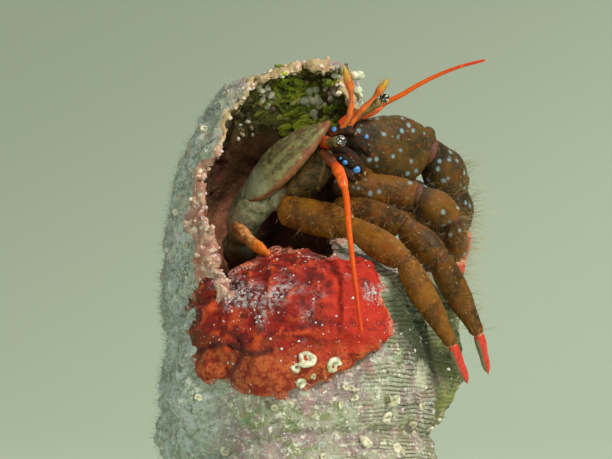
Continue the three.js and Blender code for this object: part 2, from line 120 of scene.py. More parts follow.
# ------------------------------------------------------------------ node trees
class Wire:
    """A value in a node tree that takes part in sums like a number."""

    def __init__(self, graph, socket):
        self.graph, self.socket = graph, socket

    def op(self, operation, first, second=None, clamp=False):
        values = {0: first} if second is None else {0: first, 1: second}
        return self.graph.wire("ShaderNodeMath", {"operation": operation, "use_clamp": clamp}, values)

    def __add__(self, other):
        return self.op("ADD", self, other)

    def __sub__(self, other):
        return self.op("SUBTRACT", self, other)

    def __rsub__(self, other):
        return self.op("SUBTRACT", other, self)

    def __mul__(self, other):
        return self.op("MULTIPLY", self, other)

    def __truediv__(self, other):
        return self.op("DIVIDE", self, other)

    def __pow__(self, other):
        return self.op("POWER", self, other)

    def __neg__(self):
        return self.op("MULTIPLY", self, -1.0)

    __radd__, __rmul__ = __add__, __mul__

    def sin(self):
        return self.op("SINE", self)

    def abs(self):
        return self.op("ABSOLUTE", self)

    def least(self, other):
        return self.op("MINIMUM", self, other)

    def most(self, other):
        return self.op("MAXIMUM", self, other)

    def held(self):
        """Kept between 0 and 1."""
        return self.op("ADD", self, 0.0, clamp=True)


class Graph:
    """Adds nodes to a tree."""

    def __init__(self, tree):
        self.tree = tree

    def node(self, kind, settings=None, values=None):
        """Any node: its settings first, then the values or links of its sockets."""
        node = self.tree.nodes.new(kind)
        for key, value in (settings or {}).items():
            setattr(node, key, value)
        for key, value in (values or {}).items():
            if isinstance(value, Wire):
                self.tree.links.new(value.socket, node.inputs[key])
            elif value is not None:
                node.inputs[key].default_value = value
        return node

    def wire(self, kind, settings=None, values=None, output=0):
        return Wire(self, self.node(kind, settings, values).outputs[output])

    def step(self, value, low, high):
        """0 below `low`, 1 above `high`, and smooth between."""
        return self.wire("ShaderNodeMapRange", {"interpolation_type": "SMOOTHSTEP"},
                         {0: value, 1: low, 2: high, 3: 0.0, 4: 1.0})

    def vector(self, operation, first, second=None, scale=None, output=0):
        values = {0: first}
        if second is not None:
            values[1] = second
        if scale is not None:
            values["Scale"] = scale
        return self.wire("ShaderNodeVectorMath", {"operation": operation}, values, output)


class Finish(Graph):
    """A material in the making, on Object coordinates in metres."""

    def __init__(self, name, roughness=0.6, **sockets):
        self.material = bpy.data.materials.new(name)
        self.material.use_nodes = True
        super().__init__(self.material.node_tree)
        self.tree.nodes.clear()
        self.surface = self.node("ShaderNodeBsdfPrincipled", None, {"Roughness": roughness, **sockets})
        self.node("ShaderNodeOutputMaterial", None, {"Surface": Wire(self, self.surface.outputs[0])})
        self.place = self.wire("ShaderNodeTexCoord", output="Object")

    def noise(self, across, detail=3.0, rough=0.55, warp=0.0, vector=None, output=0):
        """Uneven values whose features are `across` millimetres wide."""
        return self.wire("ShaderNodeTexNoise", None,
                         {"Vector": vector or self.place, "Scale": 1 / (across * MM), "Detail": detail,
                          "Roughness": rough, "Distortion": warp}, output)

    def cells(self, across, jitter=1.0, vector=None):
        return self.wire("ShaderNodeTexVoronoi", None, {"Vector": vector or self.place, "Scale": 1 / (across * MM),
                                                        "Randomness": jitter}, "Distance")

    def told(self, name):
        """A value kept on the mesh."""
        return self.wire("ShaderNodeAttribute", {"attribute_name": name}, output="Fac")

    def mix(self, first, second, share):
        first, second = ((*c[:3], 1) if not isinstance(c, Wire) else c for c in (first, second))
        return self.wire("ShaderNodeMix", {"data_type": "RGBA"}, {0: share, 6: first, 7: second}, 2)

    def laid(self, colour, *layers):
        """Colours laid over each other, each by a share, or by a value, where it starts and is full, and a share."""
        for over, *place, share in layers:
            colour = self.mix(colour, over, self.step(*place) * share if place else share)
        return colour

    def axes(self):
        """The point's place in millimetres."""
        parts = self.node("ShaderNodeSeparateXYZ", None, {0: self.place})
        return [Wire(self, socket) / MM for socket in parts.outputs]

    def done(self, colour, height=None, depth=0.02, roughness=None):
        """The material, with its colour, relief in millimetres and roughness joined to the surface."""
        relief = height and self.wire("ShaderNodeBump", None,
                                      {"Height": height, "Distance": depth * MM, "Strength": 1.0})
        for name, wire in (("Base Color", colour), ("Normal", relief), ("Roughness", roughness)):
            if wire:
                self.tree.links.new(wire.socket, self.surface.inputs[name])
        return self.material


# ------------------------------------------------------------------ shapes from numbers
def uneven(points, across, seed, octaves=1):
    """Smooth uneven values in -1..1 whose features are `across` wide, for each of the points."""
    table = np.random.default_rng(seed).uniform(-1, 1, (32, 32, 32))
    total, weight = 0, 1.0
    for octave in range(octaves):
        place = points * (2 ** octave / across) + 7.3 * octave
        cell = np.floor(place).astype(int)
        near = place - cell
        near = near * near * (3 - 2 * near)
        value = 0
        for corner in itertools.product((0, 1), repeat=3):
            share = np.prod(np.where(corner, near, 1 - near), axis=-1)
            x, y, z = np.moveaxis((cell + corner) % 32, -1, 0)
            value = value + share * table[x, y, z]
        total, weight = total + weight * value, weight / 2
    return total


def rise(value, low, high):
    """0 below `low`, 1 above `high`, and smooth between."""
    t = np.clip((value - low) / (high - low), 0, 1)
    return t * t * (3 - 2 * t)


def blend_min(first, second, width):
    """The lower of two fields, with the crease between them filled."""
    share = np.clip(0.5 + 0.5 * (second - first) / width, 0, 1)
    return second + (first - second) * share - width * share * (1 - share)


def grid(low, high, step):
    axes = [np.arange(a, b + step, step) for a, b in zip(low, high)]
    return np.stack(np.meshgrid(*axes, indexing="ij"), axis=-1)


def without_crumbs(points, faces):
    """The skin without its loose bits."""
    part = np.arange(len(points))
    settled = False
    while not settled:
        joined, lowest = part.copy(), part[faces].min(1)
        for corner in faces.T:
            np.minimum.at(joined, corner, lowest)
        joined = joined[joined]
        settled = (joined == part).all()
        part = joined
    kept = np.bincount(part[faces[:, 0]], minlength=len(points))[part] >= CRUMB
    return points[kept], (np.cumsum(kept) - 1)[faces[kept[faces[:, 0]]]]


def net(field, low, step):
    """The closed skin on which a sampled field is zero: points, and faces of four corners."""
    field, low = np.pad(field, 1, constant_values=step), low - step
    inside = field < 0
    top = [n - 1 for n in field.shape]
    count = sum(inside[a:top[0] + a, b:top[1] + b, c:top[2] + c].astype(np.int8)
                for a, b, c in itertools.product((0, 1), repeat=3))
    cells = np.argwhere((count > 0) & (count < 8))
    index = np.full(count.shape, -1, np.int64)
    index[tuple(cells.T)] = np.arange(len(cells))
    total, hits = np.zeros((len(cells), 3)), np.zeros(len(cells))
    for axis in range(3):
        unit = np.eye(3, dtype=int)[axis]
        for pair in itertools.product((0, 1), repeat=2):
            start = cells + np.insert(pair, axis, 0)
            here, there = field[tuple(start.T)], field[tuple((start + unit).T)]
            cross = (here < 0) != (there < 0)
            share = here[cross] / (here[cross] - there[cross])
            total[cross] += start[cross] + unit * share[:, None]
            hits[cross] += 1
    faces = []
    for axis in range(3):
        unit, u, v = (np.eye(3, dtype=int)[(axis + n) % 3] for n in range(3))
        first = inside[tuple(slice(0, -1) if n == axis else slice(None) for n in range(3))]
        second = inside[tuple(slice(1, None) if n == axis else slice(None) for n in range(3))]
        edges = np.argwhere(first != second)
        quad = np.stack([index[tuple((edges - shift).T)] for shift in (0 * unit, u, u + v, v)], axis=1)
        falls = ~first[tuple(edges.T)]
        quad[falls] = quad[falls][:, ::-1]
        faces.append(quad)
    return without_crumbs(low + total / hits[:, None] * step, np.concatenate(faces))


def normals_of(points, faces):
    across = np.cross(points[faces[:, 2]] - points[faces[:, 0]], points[faces[:, -1]] - points[faces[:, 1]])
    total = np.stack([sum(np.bincount(faces[:, c], across[:, k], len(points)) for c in range(faces.shape[1]))
                      for k in range(3)], axis=1)
    return total / np.maximum(np.linalg.norm(total, axis=1, keepdims=True), 1e-12)


def relaxed(points, faces, times):
    """Each point moved halfway to the middle of its neighbours, again and again."""
    pairs = np.concatenate([np.stack([faces[:, c], faces[:, (c + 1) % faces.shape[1]]], 1)
                            for c in range(faces.shape[1])])
    a, b = pairs.T
    degree = np.bincount(a, minlength=len(points)) + np.bincount(b, minlength=len(points))
    for _ in range(times):
        middle = np.stack([np.bincount(a, points[b, k], len(points)) + np.bincount(b, points[a, k], len(points))
                           for k in range(3)], axis=1) / np.maximum(degree, 1)[:, None]
        points = points + (middle - points) * 0.5
    return points


def through(stops, amounts):
    """A smooth curve through stops (place, value...), read at the given places."""
    stops = np.array(stops, float)
    x, y = stops[:, 0], stops[:, 1:]
    slope = np.gradient(y, x, axis=0)
    n = np.clip(np.searchsorted(x, amounts) - 1, 0, len(x) - 2)
    width = (x[n + 1] - x[n])[:, None]
    t = np.clip((amounts - x[n])[:, None] / width, 0, 1)
    return ((2 * t**3 - 3 * t**2 + 1) * y[n] + (t**3 - 2 * t**2 + t) * width * slope[n]
            + (3 * t**2 - 2 * t**3) * y[n + 1] + (t**3 - t**2) * width * slope[n + 1])


def path(points, amounts):
    """A smooth path through the points, and its direction, at shares of its run."""
    points = np.array(points, float)
    run = np.concatenate([[0], np.cumsum(np.linalg.norm(np.diff(points, axis=0), axis=1))])
    stops = np.column_stack([run / run[-1], points])
    centre = through(stops, amounts)
    along = through(stops, np.clip(amounts + 1e-3, 0, 1)) - through(stops, np.clip(amounts - 1e-3, 0, 1))
    return centre, along / np.linalg.norm(along, axis=1, keepdims=True)


def rings(centre, along, side, a, b, sides):
    """Points of oval rings, half-axes `a` along `side` and `b` across it."""
    u = side - along * np.sum(along * side, axis=1, keepdims=True)
    u /= np.linalg.norm(u, axis=1, keepdims=True)
    v = np.cross(along, u)
    angle = np.arange(sides) / sides * FULL_TURN
    a, b = np.broadcast_to(a, (len(centre),)), np.broadcast_to(b, (len(centre),))
    return (centre[:, None] + u[:, None] * (a[:, None] * np.cos(angle))[..., None]
            + v[:, None] * (b[:, None] * np.sin(angle))[..., None])


def tube_faces(count, sides):
    """Faces of a closed tube of rings, with a point at each end after the rings."""
    i, j = np.meshgrid(np.arange(count - 1), np.arange(sides), indexing="ij")
    nxt = (j + 1) % sides
    wall = np.stack([i * sides + j, i * sides + nxt, (i + 1) * sides + nxt, (i + 1) * sides + j], -1).reshape(-1, 4)
    j = np.arange(sides)
    nxt = (j + 1) % sides
    last = (count - 1) * sides
    ends = [np.stack([nxt, j, np.full(sides, count * sides)], 1),
            np.stack([last + j, last + nxt, np.full(sides, count * sides + 1)], 1)]
    return [wall, *ends]


def tube_shares(count, sides):
    """The shares along and around a tube at each of its points, its two ends last."""
    return (np.append(np.repeat(np.linspace(0, 1, count), sides), (0, 1)),
            np.append(np.tile(np.arange(sides) / sides, count), (0, 0)))


class Shape:
    """Points, faces and values kept at the points, in millimetres in the crab's own frame."""

    def __init__(self):
        self.points, self.faces, self.values = np.zeros((0, 3)), [], {}

    def add(self, points, faces, **values):
        first = len(self.points)
        self.points = np.concatenate([self.points, points])
        self.faces += [f + first for f in faces]
        for key in set(self.values) | set(values):
            old = self.values.get(key, np.zeros(first))
            self.values[key] = np.concatenate([old, np.broadcast_to(values.get(key, 0.0), (len(points),))])
        return self

    def tube(self, points, dip=(0.0, 0.0), **values):
        """A closed tube from rings[count, sides, 3]; each end is domed out by `dip`."""
        count, sides = points.shape[:2]
        ends = []
        for ring, inner, out in ((points[0], points[1], dip[0]), (points[-1], points[-2], dip[1])):
            middle = ring.mean(0)
            way = middle - inner.mean(0)
            ends.append(middle + way / max(np.linalg.norm(way), 1e-9) * out)
        along, around = tube_shares(count, sides)
        return self.add(np.concatenate([points.reshape(-1, 3), ends]), tube_faces(count, sides),
                        along=along, around=around, **values)

    def corners(self):
        return [face for block in self.faces for face in block.tolist()]

    def source(self, name, *kept, **values):
        """A plain mesh for a tree to grow on, with new values and those of its own that it keeps."""
        values.update((key, self.values[key]) for key in kept)
        return source_mesh(name, self.points, self.corners(), values=values)

    def piece(self, name, material, slot, replaces=()):
        """The shape as a finished piece that rides on the root body."""
        mesh = bpy.data.meshes.new(name)
        points = (self.points + MOUTH) * MM
        mesh.vertices.add(len(points))
        mesh.vertices.foreach_set("co", points.astype(np.float32).ravel())
        corners = np.concatenate([f.ravel() for f in self.faces])
        sizes = np.concatenate([np.full(len(f), f.shape[1]) for f in self.faces])
        mesh.loops.add(len(corners))
        mesh.loops.foreach_set("vertex_index", corners.astype(np.int32))
        mesh.polygons.add(len(sizes))
        mesh.polygons.foreach_set("loop_start", (np.cumsum(sizes) - sizes).astype(np.int32))
        mesh.update(calc_edges=True)
        mesh.validate()
        mesh.polygons.foreach_set("use_smooth", np.ones(len(mesh.polygons), bool))
        for key, value in self.values.items():
            mesh.attributes.new(key, "FLOAT", "POINT").data.foreach_set("value", value.astype(np.float32))
        mesh.materials.append(material)
        return settle(mesh, name, replaces)


def settle(mesh, name, replaces=()):
    """An object for a finished mesh, riding on the root body."""
    mesh.name = name
    obj = bpy.data.objects.new(name, mesh)
    bpy.context.scene.collection.objects.link(obj)
    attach(obj, "root")
    if replaces:
        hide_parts(*replaces)
    return obj


def grow(name, source, tree, values, coat=False):
    """Runs a Geometry Nodes tree on a mesh and keeps the result as a plain piece."""
    holder = bpy.data.objects.new(name + "_source", source)
    bpy.context.scene.collection.objects.link(holder)
    modifier = holder.modifiers.new("nodes", "NODES")
    modifier.node_group = tree
    for item in tree.interface.items_tree:
        if item.item_type == "SOCKET" and item.in_out == "INPUT" and item.name in values:
            modifier[item.identifier] = values[item.name]
    holder.update_tag()
    bpy.context.view_layer.update()
    evaluated = holder.evaluated_get(bpy.context.evaluated_depsgraph_get())
    mesh = bpy.data.meshes.new_from_object(evaluated)
    bpy.data.objects.remove(holder)
    if not len(mesh.vertices):
        raise RuntimeError(f"{name} came out empty")
    if coat:
        coat_map(mesh)
    return settle(mesh, name)


def read(mesh, name):
    data = mesh.attributes[name].data
    out = np.zeros(len(data), np.float32)
    data.foreach_get("value", out)
    return out


def coat_map(mesh):
    """Each thread is a small patch at its root's place on the unwrap of what it grows on."""
    patch = 0.003
    root = np.stack([read(mesh, "root_u"), read(mesh, "root_v")], 1)
    own = np.stack([read(mesh, "patch_u"), read(mesh, "patch_v")], 1)
    corner = np.zeros(len(mesh.loops), np.int32)
    mesh.loops.foreach_get("vertex_index", corner)
    layer = mesh.uv_layers.new(name="OFBake")
    layer.data.foreach_set("uv", (root + patch * (own - 0.5))[corner].astype(np.float32).ravel())


# ------------------------------------------------------------------ the shell's rule
SHELL_END = np.array((1.1, 2.36, 9.44))  # end of the siphon canal, in the crab's frame
LEAN = (0.064, 0.249)
LENGTH, WORN, GROWTH, TURNS = 52.0, 6.2, 1.32, 6
LIP, LIP_SUTURE, GIRTH, TAPER, KNOB, KNOBS = 217.0, 36.4, 8.05, 0.3, 0.125, 8
FINE_CORDS = 37  # dark lines between two sutures
ROWS = np.array([(0, -0.035, 0), (0.13, 0.012, 0.2), (0.38, 0.03, 1), (0.62, 0.025, 0.55),
                 (0.86, 0.004, 0.15), (1, -0.035, 0)])
HOLLOW = np.array([(6.9, 38.1), (5.8, 38.6), (4.6, 39.9), (3.5, 41.6), (2.9, 44), (2.8, 46.6),
                   (3, 48.6), (4.2, 49.1), (5.7, 48), (6.8, 46), (7.2, 43.2), (7.25, 40.5)])
LIP_FORM = np.array([  # direction about the mouth's middle in degrees, and the lip's distance as a share of the oval's
    (-180, 1.26), (-163, 1.2), (-150, 1.15), (-134, 1.19), (-122, 1.17), (-95, 1.0), (40, 1.0), (72, 0.98),
    (100, 0.965), (110, 1.07), (116, 1.04), (127, 1.15), (134, 1.14), (143, 1.1), (157, 1.17), (171, 1.25),
    (180, 1.26)])
AXIS = np.array((*LEAN, 1.0)) / math.hypot(*LEAN, 1)
AXIS_X = np.array((1.0, 0, 0)) - AXIS * AXIS[0]
AXIS_X /= np.linalg.norm(AXIS_X)
TURNED = np.stack([AXIS_X, np.cross(AXIS, AXIS_X), AXIS])  # rows: the shell's own axes
FOOT = SHELL_END - AXIS * LENGTH


def whorl_place(degrees, height):
    """The whorl's own direction at a height, and the share across it from suture to suture."""
    spiral = LIP + 360 * np.log(np.maximum(height, 1) / LIP_SUTURE) / math.log(GROWTH)
    own = degrees + 360 * np.floor((spiral - degrees) / 360)
    return own, (spiral - own) / 360


def cone(height):
    return ((TAPER * height) ** -6 + GIRTH ** -6) ** (-1 / 6)


def outer_radius(degrees, height, ragged=0.0):
    """How far the shell's surface is from its axis."""
    own, across = whorl_place(degrees, height)
    beyond = own > LIP + ragged
    own, across = np.where(beyond, own - 360, own), np.where(beyond, across + 1, across)
    swell = np.where(across <= 1, through(ROWS[:, :2], np.clip(across, 0, 1).ravel()).reshape(across.shape), 0)
    share = np.where(across <= 1, np.interp(across, ROWS[:, 0], ROWS[:, 2]), 0)
    last = 1 - (LIP - own) / 360
    number = np.round((own - LIP) / (360 / KNOBS)) + KNOBS * TURNS
    wave = np.sin(12.9898 * number) * np.sin(4.1414 * number + 1.3)
    fade = np.clip((0.9 - last) * 5, 0, 1)
    worn = np.clip((height - 8) / 14, 0.15, 1)
    bump = (0.5 + 0.5 * np.cos(np.radians(KNOBS * (own - LIP)))) ** 1.3
    full = cone(height) * (1 + swell + share * KNOB * (1 + 0.35 * wave) * bump * fade * worn) * (1 - 0.03 * (1 - fade))
    t = np.clip(last, 0, 1)
    shoulder = 38 + 3.5 * t + 8.8 * t * t
    kept = 1 / (1 + np.exp(np.clip((height - shoulder) / (0.55 + 0.9 * t), -30, 30)))
    end = np.sqrt(np.maximum(0.06, 1 - np.maximum(0, (height - LENGTH + 2.4) / 2.4) ** 2))
    neck = np.minimum(2.5 + 2.2 * np.exp((39.5 - height) / 2.2), full)
    return np.where(last > 0, (neck + (full - neck) * kept) * end, full)


def shell_polar(points):
    """Direction in degrees, distance from the axis and height along it, from the crab's frame."""
    own = (points - FOOT) @ TURNED.T
    return np.degrees(np.arctan2(own[..., 1], own[..., 0])), np.hypot(own[..., 0], own[..., 1]), own[..., 2]


def hollow_field(degrees, radius, height):
    """Distance to the hollow's wall, negative inside it."""
    step = 0.1
    turn = np.concatenate([HOLLOW, HOLLOW[:1]])
    smooth = path(turn, np.linspace(0, 1, 61))[0][:-1]
    table = np.stack(np.meshgrid(np.arange(0, 12, step), np.arange(30, 56, step), indexing="ij"), -1)
    best, side = np.full(table.shape[:2], 99.0), np.zeros(table.shape[:2], bool)
    for a, b in zip(smooth, np.roll(smooth, -1, 0)):
        edge, out = b - a, table - a
        t = np.clip((out @ edge) / (edge @ edge), 0, 1)
        best = np.minimum(best, np.linalg.norm(out - t[..., None] * edge, axis=-1))
        cross = (a[1] > table[..., 1]) != (b[1] > table[..., 1])
        with np.errstate(divide="ignore", invalid="ignore"):
            at = a[0] + (table[..., 1] - a[1]) * edge[0] / edge[1]
        side ^= cross & (table[..., 0] < at)
    best = np.where(side, -best, best)
    own = LIP + 12 - (LIP + 12 - degrees) % 360
    scale = GROWTH ** (np.minimum(0, own - LIP) / 360)
    x = np.clip(radius / scale / step, 0, best.shape[0] - 2.001)
    y = np.clip((height / scale - 30) / step, 0, best.shape[1] - 2.001)
    i, j = x.astype(int), y.astype(int)
    x, y = x - i, y - j
    value = ((1 - x) * (1 - y) * best[i, j] + x * (1 - y) * best[i + 1, j]
             + (1 - x) * y * best[i, j + 1] + x * y * best[i + 1, j + 1])
    behind = np.radians(LIP - 300 - own) * radius
    return np.maximum(value * scale, behind)


def mouth_field(points, ragged=0.0):
    """Distance to the wall of the mouth's bowl, negative inside it, and to its outline seen from in front."""
    y = points[..., 1]
    x, z = points[..., 0] + 1.2, points[..., 2] - 2.85 - 0.1 * y
    c, s = math.cos(math.radians(12)), math.sin(math.radians(12))
    across, up = c * x - s * z, s * x + c * z
    half = 4.15 - 0.42 * rise(-across, 0.5, 2.5) - 0.3 * rise(-across, 1.0, 3.0) * rise(-up, 3.0, 5.5)
    form = np.interp(np.degrees(np.arctan2(z, x)), LIP_FORM[:, 0], LIP_FORM[:, 1])
    oval = np.hypot(across / half, up / (6.15 + 0.92 * rise(up, 1, 5))) / form
    wide = np.interp(y, (-13, -4, -0.5, 1.4, 2.7, 3.4, 3.9), (1.04, 1, 0.99, 0.88, 0.64, 0.3, 0))
    return np.maximum((oval - wide) * 4.6 + ragged, y - 3.7), (oval - 1) * 4.6 + ragged


def shell_fields(points, bead):
    """The fields of the shell's wall, its outside, its opening, and the distance to the mouth's outline."""
    degrees, radius, height = shell_polar(points)
    torn = 0.26 * uneven(points, 1.5, 3) + 0.18 * uneven(points, 0.6, 4)
    outside = (radius - outer_radius(degrees, height, 14 + 3 * uneven(points, 1.1, 5))) * 0.95
    flank = rise(-points[..., 0], 2.5, 5.0)
    z = points[..., 2]
    swell = rise(z, -8.5, -5.0) * (0.38 + 0.3 * rise(z, 3.5, 5.5) + 0.22 * uneven(points, 0.9, 8, 2))
    outside = outside - flank * (swell - 0.35 * rise(-z, 9.0, 10.5))
    outside = np.maximum(outside, np.maximum(height - LENGTH, WORN - height))
    bowl, outline = mouth_field(points, torn)
    under_lip = outline * 0.5 + outside + 0.35 - 5 * rise(points[..., 0], -2.0, -0.5)
    opening = np.minimum(bowl, np.maximum(hollow_field(degrees, radius, height), under_lip))
    wall = np.maximum(outside, -opening)
    left = rise(-points[..., 0], 3.0, 4.5) * rise(-points[..., 2], -6.0, -3.0)
    left -= 0.5 * rise(-points[..., 0], 2.0, 3.0) * rise(z, 2.0, 3.0)
    thick = bead * (0.85 + 0.8 * left) * (1 + 0.9 * uneven(points, 0.8, 6) + 0.6 * uneven(points, 0.33, 7))
    rim = np.hypot(outside + 0.05, opening) - np.maximum(thick, 0.04)
    return blend_min(wall, rim, 0.12), outside, opening, outline


def shell_shape(low, high, step, bead, cord, tuck=None):
    """One length of the shell between two heights along its axis; above `tuck` it lies just under the next."""
    own = grid((-9.6, -9.6, low - 2 * step), (9.6, 9.6, high + 2 * step), step)
    field = np.empty(own.shape[:3], np.float32)
    for k in range(0, own.shape[2], 24):
        part = own[:, :, k:k + 24]
        wall = shell_fields(part @ TURNED + FOOT, bead)[0]
        field[:, :, k:k + 24] = np.maximum(wall, np.maximum(part[..., 2] - high, low - part[..., 2]))
    points, faces = net(field, own[0, 0, 0], step)
    points = relaxed(points, faces, 2) @ TURNED + FOOT
    _, outside, _, outline = shell_fields(points, bead)
    degrees, _, height = shell_polar(points)
    x, y, z = points.T
    place, across = whorl_place(degrees, height)
    open_air = rise(outside, -0.3, -0.12)
    spiral = np.radians(360 * (across - (place - degrees) / 360))
    rows = np.maximum(0, np.sin(5 * spiral + 0.8)) * (0.6 + 0.6 * np.cos(np.radians(22 * degrees)))
    cords = np.sin(11 * spiral) * 0.5 + rows
    groove = np.exp(-(np.minimum(across % 1, 1 - across % 1) / 0.035) ** 2) * rise(-across, -1.02, -0.98)
    crust = rise(uneven(points, 2.4, 10), -0.4, 0.3)
    lumps = (uneven(points, 1.3, 11, 3) * 0.13 + np.maximum(0, uneven(points, 0.5, 12) - 0.25) * 0.3 * crust
             + uneven(points, 0.36, 15) * 0.07 + rise(-x, 3.5, 6.0) * 0.13 * uneven(points, 0.55, 18, 2))
    left = rise(-x, 2.0, 3.5)
    broad = 0.24 + left * (np.interp(z, (-3, -1.2, 0, 1.5, 2.6, 7), (1.2, 0.85, 1.2, 0.95, 0.38, 0.24)) - 0.24)
    near_lip = (1 - rise(outline, 0.4 * broad, broad * (1 + 0.4 * uneven(points, 0.8, 17)))) * rise(-y, -3.0, -2.0)
    knobs = np.maximum(0, uneven(points, 0.6, 16)) * (0.2 + 0.3 * left * (1 - rise(z, 1.8, 3.0)))
    dents = open_air * (cord * cords * (1 - 0.5 * crust) - 0.22 * groove + lumps)
    dents += (1 - open_air) * 0.11 * uneven(points, 0.7, 13, 3) + near_lip * (0.12 * uneven(points, 0.4, 14) + knobs)
    if tuck is not None:
        dents -= 0.06 * rise(height, tuck - 0.25, tuck)
    points = points + normals_of(points, faces) * dents[:, None]
    return Shape().add(points, [faces], inner=1 - open_air, rim=near_lip * open_air, crust=crust,
                       unwrap_u=(degrees / 360) % 1, unwrap_v=(height - WORN) / (LENGTH - WORN))


# ------------------------------------------------------------------ finishes
def shell_finish(look):
    """Bare chalk, violet and pink crust, green film and sage turf, with dark lines between the cords, and on the right
    flank a band of painted shadow from the near walking leg, mixed with dark green turf.
    """
    mat = Finish("Overgrown shell", 0.82, **{"Specular IOR Level": 0.25})
    x, y, z = mat.axes()
    own = mat.vector("SUBTRACT", mat.place, tuple((FOOT + MOUTH) * MM))
    across, deep, height = (mat.vector("DOT_PRODUCT", own, tuple(row), output="Value") for row in TURNED)
    angle = across.op("ARCTAN2", deep, across) / FULL_TURN
    spiral = across.op("LOGARITHM", (height / (LIP_SUTURE * MM)).most(0.02), GROWTH) - angle
    fine = ((spiral + mat.noise(2.0, 2) * 0.05) * (FULL_TURN * FINE_CORDS)).sin()
    patch, small = mat.noise(2.2, 5, 0.65), mat.noise(0.42, 4, 0.7)
    speck, blotch = mat.noise(0.15, 3, 0.7), mat.noise(1.0, 4, 0.7, 0.3)
    right, leftward = mat.step(x, 0.5, 6), -x + (patch - 0.5) * 4
    # painted shadow: a dark green band where the near walking leg casts its shadow on the right flank, mixed with dark
    # green turf; `front` keeps it to the front of that flank
    leg_shadow_and_turf_band = ((x - 6.3) * 0.81 + (z - (MOUTH[2] - 6.2)) * 0.587).abs() + (blotch - 0.5) * 1.6
    front = mat.step(-y, -1, 2) * mat.step(z, 29, 31) * mat.step(x, 4, 5)
    knob = mat.vector("DISTANCE", mat.place, (7.3 * MM, -5.5 * MM, 30.2 * MM), output="Value") / MM
    sage = mat.laid(
        look.turf,
        (tone(118, 136, 124), small, 0.42, 0.58, 1),
        (tone(200, 178, 162), mat.noise(0.8, 4, 0.7), 0.5, 0.62, mat.step(z, 33, 42)),
        (tone(198, 210, 218), mat.noise(1.1, 5, 0.7, 0.4), 0.48, 0.58, 0.7),
        (tone(212, 212, 200), speck, 0.52, 0.64, 0.7),
        (tone(70, 76, 54), mat.noise(0.5, 4, 0.75), 0.55, 0.65, 0.75),
        (mat.laid(look.crust, (tone(104, 112, 74), blotch, 0.46, 0.56, 1)), patch, 0.47, 0.57,
         mat.step(y, -2, 3) * 0.7))
    green = mat.laid(tone(142, 146, 72), (tone(74, 88, 34), small, 0.42, 0.58, 1))
    colour = mat.laid(
        look.chalk,
        (look.crust, patch + (mat.told("crust") - 0.5) * 0.1, 0.44, 0.56, 1),
        (look.moss, mat.noise(1.5, 5, 0.7, 0.5), 0.5, 0.62, 0.85),
        (tone(178, 192, 180), mat.noise(0.7, 4, 0.7, 0.8), 0.52, 0.62, 0.7),
        (tone(230, 224, 212), small, 0.53, 0.64, 0.8),
        (tone(184, 128, 134), blotch, 0.56, 0.68, 0.6),
        (tone(86, 84, 58), -blotch, -0.42, -0.34, 0.65),
        (tone(52, 56, 34), -fine, 0.1, 0.9, (0.1 + 0.7 * right) * mat.step(mat.noise(1.3, 3), 0.4, 0.58)),
        (green, x + (blotch - 0.5) * 4, 6.6, 7.8, 0.75),
        # the painted leg shadow and dark green turf, in the band on the right flank
        (tone(40, 50, 22), -leg_shadow_and_turf_band, -1.3, -0.5, front * 0.9),
        (tone(206, 206, 188), small - 0.5 - knob, -1.6, -1.0, 0.7),
        (sage, leftward, 3.4, 6.0, 0.85),
        (tone(58, 64, 48), speck, 0.58, 0.68, 0.75 - mat.step(leftward, 3.4, 6.0) * 0.3))
    pink = mat.laid(
        look.lip,
        (tone(176, 118, 106), mat.noise(0.9, 3), 0.45, 0.6, 1),
        (tone(228, 206, 192), small, 0.52, 0.64, 1),
        (tone(188, 168, 122), z + (blotch - 0.5) * 6, 42, 45, 0.75),
        (tone(112, 82, 54), blotch, 0.54, 0.66, 0.4))
    low = mat.step(-z + (blotch - 0.5) * 3, -41, -38) * mat.step(-x, 2.6, 4.0)
    film = mat.laid(
        tone(148, 150, 70),
        (tone(78, 76, 36), blotch, 0.42, 0.56, 1),
        (tone(34, 36, 22), mat.noise(0.8, 3), 0.54, 0.64, 0.7),
        (tone(66, 56, 30), (x + 1.6).abs() + (blotch - 0.5), 1.2, 2.4, 0.7),
        (tone(196, 186, 150), small, 0.53, 0.66, 0.8))
    wall = mat.laid(
        look.inside,
        (tone(112, 40, 56), mat.noise(1.4, 3), 0.52, 0.66, 0.8),
        (tone(190, 122, 92), low * 0.6),
        (tone(34, 24, 14), mat.noise(1.9, 3), 0.45, 0.6, 0.7 - 0.4 * low),
        (tone(150, 126, 96), speck, 0.55, 0.68, 0.45),
        (film, z + (blotch - 0.5) * 3, 43.0, 45.2, 0.9))
    inner = mat.told("inner")
    colour = mat.laid(colour, (pink, mat.told("rim") + (small - 0.5) * 0.6, 0.2, 0.5, 1), (wall, inner))
    relief = fine * 0.3 * (1 - inner) * (0.2 + 0.8 * right) + small * 3 + speck * 1.6 + blotch * 2
    return mat.done(colour, relief, 0.06, 0.7 + small * 0.25)


